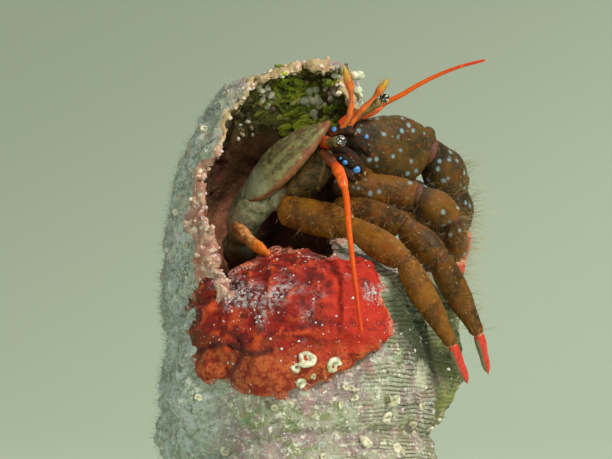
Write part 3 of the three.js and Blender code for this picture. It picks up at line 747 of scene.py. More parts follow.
def sponge_finish(look):
    """Red sponge, orange on its ridges, frosted with silt, brown towards the shell's left, and darkened by painted
    shade in its clefts.
    """
    mat = Finish("Red sponge", 0.7, **{"Subsurface Weight": 0.1, "Subsurface Radius": (1.0, 0.25, 0.1),
                                       "Subsurface Scale": 0.0006, "Specular IOR Level": 0.35})
    x, _, z = mat.axes()
    patch, small, fine = mat.noise(1.6, 4, 0.6), mat.noise(0.6, 4, 0.65), mat.noise(0.16, 3, 0.65)
    ridge, right = mat.told("ridge"), mat.step(x + (small - 0.5) * 3, 0.1, 2.0)
    silt = mat.told("silt") * mat.step(mat.noise(0.32, 5, 0.75, 0.6), 0.45, 0.57)
    tan = mat.laid(tone(196, 98, 48), (tone(128, 34, 16), small * 0.7 + fine * 0.3, 0.44, 0.56, 1))
    colour = mat.laid(
        tone(96, 10, 8),
        (look.sponge, small + fine * 0.3, 0.52, 0.7, 1),
        (look.sponge_light, (ridge * mat.step(small, 0.4, 0.62)).held() * (1 - right * 0.5)),
        (tone(196, 40, 20), right * 0.6),
        (tone(74, 12, 12), patch, 0.54, 0.64, 0.6),
        (tan, -z + (patch - 0.5) * 3, -32.6, -31.4, 0.75),
        (tone(92, 40, 16), -x + (small - 0.5), 5.4, 6.2, (1 - ridge * 0.8).held()),
        # painted shade: darker red down the sponge's clefts
        (tone(64, 10, 10), mat.told("cleft") * 0.8),
        (look.silt, silt * 0.85),
        (tone(216, 158, 136), fine, 0.4, 0.6, mat.told("edge") * 0.7))
    relief = small * 1.5 + fine * 1.4 + mat.step(mat.cells(0.22), 0.1, 0.4) * 0.6 + silt * 0.6
    return mat.done(colour, relief, 0.06, 0.55 + fine * 0.4)


def cuticle_finish(name, base, dark, light, spots=None, roughness=0.48, root=0.0):
    """Arthropod cuticle: mottled and pitted, with red and pale rims at the joints and soft pale spots, and dark at the
    base of each length, where a `root` above zero spreads painted shadow over that share of its run.
    """
    mat = Finish(name, roughness, **{"Subsurface Weight": 0.06, "Subsurface Radius": (1.0, 0.5, 0.2),
                                     "Subsurface Scale": 0.0004, "Specular IOR Level": 0.2})
    along = mat.told("along")
    patch, small, fine = mat.noise(1.1, 4, 0.6), mat.noise(0.3, 4, 0.65), mat.noise(0.08, 2, 0.6)
    colour = mat.laid(
        base,
        (dark, patch, 0.42, 0.62, 0.8),
        (light, small, 0.5, 0.68, 0.65),
        (dark, fine, 0.55, 0.68, 0.5),
        (tone(124, 50, 14), mat.noise(0.8, 3, 0.6, 0.6), 0.56, 0.66, 0.4),
        # dark at the base of each length; with `root` above zero this is painted shadow over that share of the length
        (dark, patch * 0.2 - along, -root - 0.05, -root + 0.2, 0.85))
    if spots:
        warped = mat.vector("ADD", mat.place, mat.vector("SCALE", mat.noise(0.5, 2, output="Color"), scale=0.15 * MM))
        colour = mat.laid(colour, (spots, -mat.cells(0.66, vector=warped), -0.3, -0.1, 0.66))
    rim = mat.laid(tone(122, 44, 18), (tone(196, 160, 116), small, 0.48, 0.6, 1))
    colour = mat.laid(
        colour,
        (rim, along + (small - 0.5) * 0.08, 0.9, 0.97, 0.7),
        (tone(120, 44, 18), -along, -0.07, -0.02, 0.7),
        (tone(222, 206, 170), mat.noise(0.11, 2, 0.6), 0.68, 0.74, 0.6))
    relief = mat.step(mat.cells(0.2), 0.05, 0.3) * 0.6 + small * 1.0 + fine * 0.4
    return mat.done(colour, relief, 0.024, roughness + small * 0.3 - 0.12)


def plain_finish(name, colours, across, roughness=0.6, depth=0.02, along=None, **sockets):
    """A mottled finish of three tones, with an optional tone towards the far end."""
    mat = Finish(name, roughness, **sockets)
    patch, fine = mat.noise(across, 3, 0.6), mat.noise(across / 4, 3, 0.65)
    colour = mat.laid(colours[0], (colours[1], patch, 0.4, 0.62, 1), (colours[2], fine, 0.54, 0.7, 0.7))
    if along:
        low, high, end = along
        colour = mat.laid(colour, (end, mat.told("along"), low, high, 1))
    return mat.done(colour, patch + fine, depth, roughness - 0.1 + fine * 0.2)


# ------------------------------------------------------------------ limbs
LEGS = {  # joints from the body outwards, and girth
    "leg3_right": (((-1.5, -3.9, 1.15), (2.5, -6.2, 0.2), (5.5, -7.5, -1.8), (8.16, -6.9, -6.45),
                    (9.05, -6.2, -8.65)), 1.0),
    "leg2_right": (((1.4, -3.7, 1.1), (5.44, -4.8, 0.22), (7.5, -5.0, -1.75), (9.72, -3.9, -5.9),
                    (10.3, -3.2, -8.2)), 1.08),
    "leg2_left": (((2.4, -3.0, 3.0), (7.2, 2.4, 1.7), (8.3, 4.9, -0.6), (8.1, 6.1, -5.0), (7.6, 6.2, -7.4)), 1.02),
    "leg3_left": (((2.0, -2.9, 1.8), (6.6, 2.6, 0.6), (7.5, 5.2, -1.6), (6.6, 7.6, -5.4), (5.8, 7.7, -7.8)), 0.95),
}
CLAWS = {  # joints, girth, breadth of the first length, tip, way the fingers part, width of the hand
    "claw_right": (((1.5, -3.3, 2.55), (6.3, -3.1, 1.95), (8.25, -2.2, 0.65), (8.65, -0.9, -1.5)), 0.95, 0.92,
                   (8.3, -0.3, -3.6), (0.3, 0.95, 0.1), 0.88),
    "claw_left": (((2.3, -2.3, 4.75), (7.0, 0.1, 4.4), (8.6, 1.5, 2.35), (8.75, 2.6, 0.1)), 1.3, 1.38,
                  (8.45, 3.1, -2.4), (0.95, -0.2, 0.1), 1.05),
}
GAP = 0.12


def leg_parts(k):
    """Name, half thickness near, middle and far, and flatness of each length."""
    return (("merus", 0.86 * k, 1.0 * k, 0.88 * k, 0.66), ("carpus", 0.68 * k, 0.86 * k, 0.78 * k, 0.8),
            ("propodus", 0.72 * k, 0.7 * k, 0.46 * k, 0.82), ("dactyl", 0.32 * k, 0.28, 0.22, 0.9))


def claw_parts(k, broad):
    return (("merus", 0.9 * k * broad, 1.08 * k * broad, 0.96 * k * broad, 0.62 / broad),
            ("carpus", 0.8 * k, 1.04 * k, 0.92 * k, 0.85), ("palm", 0.74 * k, 0.98 * k, 0.85 * k, 0.75))


def unit(vector):
    return vector / np.linalg.norm(vector)


def limb_length(joints, n, part, last, count=64, sides=44):
    """One length of a limb between joints n and n + 1, domed at its ends."""
    _, near_half, middle, far_half, flat = part
    joints = np.array(joints, float)
    a, b = joints[n], joints[n + 1]
    along = unit(b - a)
    near = unit(unit(a - joints[n - 1]) + along) if n else along
    far = along if last else unit(unit(joints[n + 2] - b) + along)
    t = 0.5 - 0.5 * np.cos(np.linspace(0, np.pi, count))
    pointed = part[0] == "dactyl"
    stops = [(0, near_half * 0.86), (0.16, near_half), (0.5, middle), (0.82, far_half),
             (1, far_half * (0.3 if pointed else 0.8))]
    thick = through(stops, t)[:, 0]
    thick = thick * (0.72 + 0.28 * np.sqrt(np.clip(1 - (1 - t / 0.05) ** 2, 0, 1)) ** (t < 0.05))
    if n == 0:
        thick = thick * (0.4 + 0.6 * np.sqrt(np.clip(1 - (1 - np.minimum(t, 0.12) / 0.12) ** 2, 0, 1)))
    if pointed:
        thick = np.where(t > 0.9, thick * (1 - 0.85 * (t - 0.9) / 0.1), thick)
    else:
        thick = thick * (1 + 0.03 * np.exp(-((t - 0.93) / 0.02) ** 2) - 0.04 * np.exp(-((t - 0.885) / 0.025) ** 2))
        thick = np.where(t > 0.94, thick * np.sqrt(np.clip(1 - ((t - 0.94) / 0.085) ** 2, 0.1, 1)), thick)
    centre = a + (b - a) * t[:, None]
    plane = along + (near - along) * (1 - rise(t, 0, 0.16))[:, None] + (far - along) * rise(t, 0.82, 1)[:, None]
    plane /= np.linalg.norm(plane, axis=1, keepdims=True)
    centre[0] += near * GAP / 2
    centre[-1] -= far * GAP / 2
    skin = rings(centre, plane, UP, thick, thick * flat, sides)
    middle_line = centre[:, None]
    uneven_skin = 1 + 0.04 * uneven(skin, 1.4, 21) + 0.025 * uneven(skin, 0.4, 22) + 0.008 * uneven(skin, 0.16, 23)
    return middle_line + (skin - middle_line) * uneven_skin[..., None]


def sweep(points, halves, side=UP, count=40, sides=24):
    """Rings along a smooth path; halves are stops (place, half-axis, half-axis)."""
    t = np.linspace(0, 1, count)
    centre, along = path(points, t)
    a, b = through(halves, t).T
    return rings(centre, along, np.array(side, float), a, b, sides)


def swollen(skin, amount, axis=1):
    """Rings moved out from their middle, or from the whole skin's, by shares."""
    middle = skin.mean(axis, keepdims=True)
    return middle + (skin - middle) * (1 + amount)[..., None]


def ball(centre, half, count=18, sides=24, side=UP, along=(1, 0, 0)):
    """A closed egg with half-axes `half` along its length, its side and across."""
    angle = np.linspace(0.08, np.pi - 0.08, count)
    along = np.broadcast_to(unit(np.array(along, float)), (count, 3))
    middle = np.array(centre, float) - along * (half[0] * np.cos(angle))[:, None]
    return rings(middle, along, np.array(side, float), half[1] * np.sin(angle), half[2] * np.sin(angle), sides)


# ------------------------------------------------------------------ scattered things
class Scatter(Graph):
    """A Geometry Nodes tree with a material and named inputs, whose kinds follow from their defaults."""

    KINDS = {float: "NodeSocketFloat", int: "NodeSocketInt", tuple: "NodeSocketVector"}

    def __init__(self, name, inputs):
        super().__init__(bpy.data.node_groups.new(name, "GeometryNodeTree"))
        new = self.tree.interface.new_socket
        new("Geometry", in_out="INPUT", socket_type="NodeSocketGeometry")
        for label, default in inputs.items():
            new(label, in_out="INPUT", socket_type=self.KINDS[type(default)]).default_value = default
        new("Material", in_out="INPUT", socket_type="NodeSocketMaterial")
        new("Geometry", in_out="OUTPUT", socket_type="NodeSocketGeometry")
        self.inputs = self.tree.nodes.new("NodeGroupInput")
        self.output = self.tree.nodes.new("NodeGroupOutput")

    def given(self, label):
        return Wire(self, self.inputs.outputs[label])

    def named(self, name, kind="FLOAT"):
        return self.wire("GeometryNodeInputNamedAttribute", {"data_type": kind}, {"Name": name})

    def random(self, low, high, seed, kind="FLOAT"):
        ids = {"FLOAT": (2, 3, 1), "FLOAT_VECTOR": (0, 1, 0)}[kind]
        return self.wire("FunctionNodeRandomValue", {"data_type": kind},
                         {ids[0]: low, ids[1]: high, "Seed": seed}, ids[2])

    def kept(self, geometry, name, value):
        return self.wire("GeometryNodeStoreNamedAttribute", {"data_type": "FLOAT", "domain": "POINT"},
                         {"Geometry": geometry, "Name": name, "Value": value})

    def spread(self, amount):
        """Random points over the faces, as dense as the mesh's own amount says, and their normals."""
        node = self.node("GeometryNodeDistributePointsOnFaces", {"distribute_method": "RANDOM"},
                         {"Mesh": self.given("Geometry"), "Density": self.given("Density") * self.named(amount),
                          "Seed": self.given("Seed")})
        return Wire(self, node.outputs["Points"]), Wire(self, node.outputs["Normal"])

    def aimed(self, way, seed):
        """A turn that points Z along `way`, with a random spin about it."""
        aim = self.wire("FunctionNodeAlignRotationToVector", {"axis": "Z"}, {"Vector": way})
        spin = self.wire("FunctionNodeAxisAngleToRotation", None,
                         {"Axis": (0, 0, 1), "Angle": self.random(0.0, FULL_TURN, seed)})
        return self.wire("FunctionNodeRotateRotation", {"rotation_space": "LOCAL"}, {0: aim, 1: spin})

    def placed(self, points, thing, turn, scale):
        return self.wire("GeometryNodeInstanceOnPoints", None,
                         {"Points": points, "Instance": thing, "Rotation": turn, "Scale": scale})

    def swept(self, line, thick, sides, radius):
        """A tube along a curve, capped, as thick as `thick` says along it."""
        line = self.wire("GeometryNodeSetCurveRadius", None, {"Curve": line, "Radius": thick})
        ring = self.wire("GeometryNodeCurvePrimitiveCircle", None, {"Resolution": sides, "Radius": radius})
        wall = self.node("GeometryNodeCurveToMesh", None, {"Curve": line, "Profile Curve": ring, "Fill Caps": True})
        if "Scale" in wall.inputs:
            self.tree.links.new(thick.socket, wall.inputs["Scale"])
        return Wire(self, wall.outputs[0])

    def finish(self, instances):
        """Instances made real, given the material and shaded smooth."""
        real = self.wire("GeometryNodeRealizeInstances", None, {0: instances})
        smooth = self.wire("GeometryNodeSetShadeSmooth", None, {"Geometry": real})
        done = self.wire("GeometryNodeSetMaterial", None, {"Geometry": smooth, "Material": self.given("Material")})
        self.tree.links.new(done.socket, self.output.inputs[0])
        return self.tree


def thread_tree():
    """Tapered bent threads that grow where the mesh says, and lie towards one side."""
    tree = Scatter("Threads", {"Density": 1e6, "Length": 0.5 * MM, "Thickness": 0.02 * MM, "Shortest": 0.4, "Bend": 0.3,
                               "Spread": 0.4, "Lie": (0, 0, 0), "Seed": 1})
    given = tree.given
    points, normal = tree.spread("coat")
    for name, source in (("root_u", "unwrap_u"), ("root_v", "unwrap_v"), ("shade", "coat")):
        points = tree.kept(points, name, tree.named(source))
    thread = tree.wire("GeometryNodeMeshCone", {"fill_type": "NGON"},
                       {"Vertices": 3, "Side Segments": 2, "Radius Top": 0.12, "Radius Bottom": 1.0, "Depth": 1.0})
    parts = tree.node("ShaderNodeSeparateXYZ", None, {0: tree.wire("GeometryNodeInputPosition")})
    x, y, z = (Wire(tree, s) for s in parts.outputs)
    for name, value in (("patch_u", x * 0.5 + 0.5), ("patch_v", z), ("along", z)):
        thread = tree.kept(thread, name, value)
    thin = given("Thickness") / given("Length")
    bent = tree.wire("ShaderNodeCombineXYZ", None, {0: x * thin + z * z * given("Bend"), 1: y * thin, 2: z})
    thread = tree.wire("GeometryNodeSetPosition", None, {"Geometry": thread, "Position": bent})
    wild = tree.vector("SCALE", tree.random((-1, -1, -1), (1, 1, 1), 5, "FLOAT_VECTOR"), scale=given("Spread"))
    way = tree.vector("ADD", tree.vector("ADD", normal, wild), given("Lie"))
    long = (given("Shortest") + (1 - given("Shortest")) * tree.random(0.0, 1.0, 7)) * given("Length")
    return tree.finish(tree.placed(points, thread, tree.aimed(way, 6), long))


def grain_tree():
    """Uneven grains that lie on the mesh where it says."""
    tree = Scatter("Grains", {"Density": 1e6, "Size": 0.06 * MM, "Smallest": 0.3, "Seed": 1})
    given = tree.given
    stone = tree.wire("GeometryNodeMeshIcoSphere", None, {"Radius": 1.0, "Subdivisions": 2})
    spot = tree.wire("GeometryNodeInputPosition")
    rough = tree.wire("ShaderNodeTexNoise", None, {"Vector": spot, "Scale": 1.3, "Detail": 2.0})
    stone = tree.wire("GeometryNodeSetPosition", None,
                      {"Geometry": stone, "Position": tree.vector("SCALE", spot, scale=0.35 + rough * 1.3)})
    turned = tree.random((0, 0, 0), (FULL_TURN,) * 3, 3, "FLOAT_VECTOR")
    uneven_size = tree.random((0.6, 0.6, 0.6), (1.3, 1.3, 1.3), 8, "FLOAT_VECTOR")
    wide = (given("Smallest") + (1 - given("Smallest")) * (tree.random(0.0, 1.0, 4) ** 3.0)) * given("Size")
    return tree.finish(tree.placed(tree.spread("grains")[0], stone, turned,
                                   tree.vector("SCALE", uneven_size, scale=wide)))


def coil_tree():
    """Coiled worn tubes, one at each point, flat on the surface that the point faces away from."""
    tree = Scatter("Coiled tubes", {"Turns": 1.6, "Tube": 0.34, "Wear": 0.09 * MM})
    given = tree.given
    coil = tree.wire("GeometryNodeCurveSpiral", None,
                     {"Resolution": 22, "Rotations": given("Turns"), "Start Radius": 0.22, "End Radius": 0.72,
                      "Height": 0.3, "Reverse": False})
    coil = tree.swept(coil, 0.45 + tree.wire("GeometryNodeSplineParameter") * 0.55, 9, given("Tube"))
    stretch = tree.random((0.75, 0.75, 0.6), (1.2, 1.2, 1.3), 4, "FLOAT_VECTOR")
    placed = tree.placed(given("Geometry"), coil, tree.aimed(tree.named("facing", "FLOAT_VECTOR"), 2),
                         tree.vector("SCALE", stretch, scale=tree.named("size")))
    placed = tree.wire("GeometryNodeRealizeInstances", None, {0: placed})
    wear = tree.wire("ShaderNodeTexNoise", None, {"Scale": 1 / (0.28 * MM), "Detail": 2.0}, 1)
    wear = tree.vector("SCALE", tree.vector("SUBTRACT", wear, (0.5, 0.5, 0.5)), scale=given("Wear") * 3)
    return tree.finish(tree.wire("GeometryNodeSetPosition", None, {"Geometry": placed, "Offset": wear}))


def feeler_tree():
    """A tapering ringed feeler along a path."""
    tree = Scatter("Ringed feeler", {"Base": 0.2 * MM, "Tip": 0.1 * MM, "Ring": 0.2 * MM, "Groove": 0.1})
    given = tree.given
    line = tree.wire("GeometryNodeMeshToCurve", None, {0: given("Geometry")})
    line = tree.wire("GeometryNodeResampleCurve", {"mode": "LENGTH"}, {"Curve": line, "Length": given("Ring") / 5})
    parameter = tree.node("GeometryNodeSplineParameter")
    share, run = (Wire(tree, parameter.outputs[n]) for n in ("Factor", "Length"))
    wave = (run / given("Ring") * FULL_TURN).sin().abs()
    thick = (given("Base") + (given("Tip") - given("Base")) * share) * (1 - given("Groove") * (1 - wave))
    thick = thick * (1 - tree.step(share, 0.985, 1.0) * 0.8)
    return tree.finish(tree.swept(tree.kept(line, "along", share), thick, 12, 1.0))


def source_mesh(name, points, faces=(), edges=(), values=None, vectors=None):
    """A plain mesh for a tree to work on, from points in the crab's frame."""
    mesh = bpy.data.meshes.new(name)
    mesh.from_pydata([tuple(p) for p in (np.asarray(points) + MOUTH) * MM], edges, faces)
    for key, value in (values or {}).items():
        mesh.attributes.new(key, "FLOAT", "POINT").data.foreach_set("value", np.asarray(value, np.float32))
    for key, value in (vectors or {}).items():
        mesh.attributes.new(key, "FLOAT_VECTOR", "POINT").data.foreach_set(
            "vector", np.asarray(value, np.float32).ravel())
    mesh.update()
    return mesh


# ------------------------------------------------------------------ operators
MADE = {}  # shapes that later pieces grow on


def changed(mesh, name, values):
    """A copy of a mesh with other values under one name."""
    mesh = mesh.copy()
    mesh.attributes[name].data.foreach_set("value", values.astype(np.float32))
    return mesh


class Ground:
    """Finds points on made shapes, in millimetres in the crab's frame."""

    def __init__(self, *shapes):
        whole = Shape()
        for shape in shapes:
            whole.add(shape.points, shape.faces)
        self.tree = BVHTree.FromPolygons(whole.points.tolist(), whole.corners())

    def ahead(self, x, z):
        """The first point met going back from in front of the mouth and its normal, or None beside the shapes."""
        before = -30.0
        place, normal, _, _ = self.tree.ray_cast(Vector((x, before, z)), Vector((0, 1, 0)))
        return place and (np.array(place), np.array(normal if normal.y < 0 else -normal))


class HERMIT_OT_stage(bpy.types.Operator):
    """Camera, lights, floor and backdrop"""

    bl_idname = "hermit.stage"
    bl_label = "Stage"

    def execute(self, context):
        look = context.scene.hermit_stage
        distance, sensor = 300 * MM, 36.0
        camera = bpy.data.cameras.new("camera")
        camera.sensor_width = sensor
        camera.lens = sensor * distance / look.frame_width
        camera.clip_start, camera.clip_end = 0.01, 20
        holder = bpy.data.objects.new("camera", camera)
        holder.location = (0, -distance, MOUTH[2] * MM)
        holder.rotation_euler = (math.pi / 2, 0, 0)
        context.scene.collection.objects.link(holder)
        context.scene.camera = holder
        context.scene.view_settings.view_transform = "Standard"
        self.backdrop(look)
        aim = Vector(MOUTH * MM)
        for name, turn, rise_angle, away, wide, share, colour in (
            ("key", 46, 40, 0.34, 0.045, 1.0, (1.0, 0.95, 0.82)),
            ("front", 8, 14, 0.5, 0.08, 0.3, (1.0, 0.97, 0.88)),
            ("fill", -60, 10, 0.4, 0.3, 0.22, (0.84, 1.0, 0.94)),
            ("back", 160, 50, 0.4, 0.3, 0.4, (0.94, 1.0, 0.92)),
        ):
            lamp = bpy.data.lights.new(name, "AREA")
            lamp.size, lamp.energy, lamp.color = wide, look.key_power * share, colour
            turn, rise_angle = math.radians(turn), math.radians(rise_angle)
            way = Vector((math.sin(turn) * math.cos(rise_angle), -math.cos(turn) * math.cos(rise_angle),
                          math.sin(rise_angle)))
            light = bpy.data.objects.new(name, lamp)
            light.location = aim + way * away
            light.rotation_euler = (-way).to_track_quat("-Z", "Y").to_euler()
            context.scene.collection.objects.link(light)
        world = bpy.data.worlds.new("studio")
        world.use_nodes = True
        sky = world.node_tree.nodes["Background"].inputs
        sky["Color"].default_value, sky["Strength"].default_value = (0.84, 1.0, 0.86, 1), 0.22
        context.scene.world = world
        return {"FINISHED"}

    def backdrop(self, look):
        """A round floor that curves up into a softly glowing wall on all sides."""
        turn = np.linspace(0, np.pi / 2, 20)
        flat, bend, top, sides = 0.9, 0.5, 1.4, 96
        line = [(0.001, 0.0), (flat * 0.5, 0.0)]
        line += [(flat + bend * math.sin(a), bend - bend * math.cos(a)) for a in turn] + [(flat + bend, top)]
        angle = np.arange(sides) / sides * FULL_TURN
        points = [(r * math.cos(a), r * math.sin(a), z) for r, z in line for a in angle]
        faces = [(i * sides + j, i * sides + (j + 1) % sides, (i + 1) * sides + (j + 1) % sides, (i + 1) * sides + j)
                 for i in range(len(line) - 1) for j in range(sides)]
        mesh = bpy.data.meshes.new("backdrop")
        mesh.from_pydata(points, [], [face[::-1] for face in faces])
        mesh.polygons.foreach_set("use_smooth", [True] * len(faces))
        mat = Finish("Pale backdrop", 0.9, **{"Emission Strength": look.glow})
        x, _, z = mat.axes()
        # painted light: the backdrop's glow and colour fade to a darker tone towards the top and the left
        pale = mat.laid(look.backdrop, (tuple(0.62 * c for c in look.backdrop),
                                        z - x.least(150).most(-150) * 0.5, -60, 160, 1))
        mat.tree.links.new(pale.socket, mat.surface.inputs["Emission Color"])
        mesh.materials.append(mat.done(pale))
        obj = bpy.data.objects.new("backdrop", mesh)
        bpy.context.scene.collection.objects.link(obj)
        obj.visible_shadow = False


class HERMIT_OT_shell(bpy.types.Operator):
    """The shell's whorls with their cords, nodules, torn lip and hollow"""

    bl_idname = "hermit.shell"
    bl_label = "Shell"

    def execute(self, context):
        look = context.scene.hermit_shell
        mat = shell_finish(look)
        grain, bead, cord = (v / MM for v in (look.grain, look.rim_bead, look.cord_height))
        whole = Shape()
        for name, low, high, tuck in (("mouth_whorl", 36.6, LENGTH + 1, None), ("whorls", 24.5, 37.2, 36.6),
                                      ("spire", WORN - 0.5, 25.1, 24.5)):  # heights along the axis
            shape = shell_shape(low, high, grain, bead, cord, tuck)
            shape.piece(f"shell_{name}", mat, "shell_chalk", ["shell"])
            if name != "spire":
                whole.add(shape.points, shape.faces, **shape.values)
        MADE["shell"] = whole
        return {"FINISHED"}


LOBES = (  # middle across and up, half width, half height, thickness of each lobe of the sponge
    (-0.9, -4.0, 3.7, 2.7, 1.3), (2.0, -4.9, 2.55, 2.3, 1.15), (3.5, -5.1, 0.95, 0.9, 0.7), (2.9, -2.9, 1.3, 1.5, 0.95),
    (-5.45, -4.6, 0.65, 1.9, 0.9), (-6.0, -5.0, 0.6, 1.5, 0.7), (-5.0, -7.4, 1.3, 1.1, 0.75),
    (-2.4, -7.9, 1.9, 1.45, 0.95), (0.2, -7.3, 2.5, 1.2, 0.9), (-2.9, -6.0, 2.1, 1.7, 1.15),
    (-4.3, -5.2, 1.0, 2.0, 1.0),
)
WORM_TUBES = (  # place across and up, and width
    (0.0, -7.1, 0.58), (-0.35, -8.4, 0.5), (1.45, -7.5, 0.5), (4.9, -9.4, 0.4), (4.4, -10.4, 0.38),
    (3.2, -11.8, 0.42), (6.4, -9.9, 0.33), (5.9, -10.8, 0.3), (6.9, -11.2, 0.36), (5.0, -12.1, 0.38),
    (2.5, -8.8, 0.26), (2.7, -9.3, 0.24), (-4.4, -12.3, 0.36), (-6.0, -9.3, 0.24), (-0.55, -7.6, 0.3),
    (0.35, -8.1, 0.24), (-7.3, 1.0, 0.3), (-6.7, -0.9, 0.22), (-5.7, 5.7, 0.28),
)
LEAVES = (  # middle across and up, spread and number of each cluster
    (-0.9, 7.7, 0.5, 34), (-0.5, 6.3, 0.55, 34), (0.4, 7.3, 0.45, 12), (-1.7, 7.2, 0.5, 12),
    (0.9, 6.1, 0.5, 12), (0.9, 8.3, 0.5, 10), (-1.2, 8.7, 0.5, 14), (1.5, 7.0, 0.4, 8),
)
BARNACLES = (  # the same, and the width of one
    (-2.3, 7.5, 0.42, 18, 0.19), (0.35, 7.6, 0.24, 9, 0.29), (0.75, 7.1, 0.2, 6, 0.24),
    (1.7, 8.1, 0.42, 18, 0.2), (2.9, 7.6, 0.2, 3, 0.26), (-3.3, 5.6, 0.3, 7, 0.13),
    (-0.1, 8.6, 0.15, 2, 0.16), (3.2, 8.3, 0.3, 7, 0.27), (-1.5, 8.9, 0.5, 7, 0.12),
)


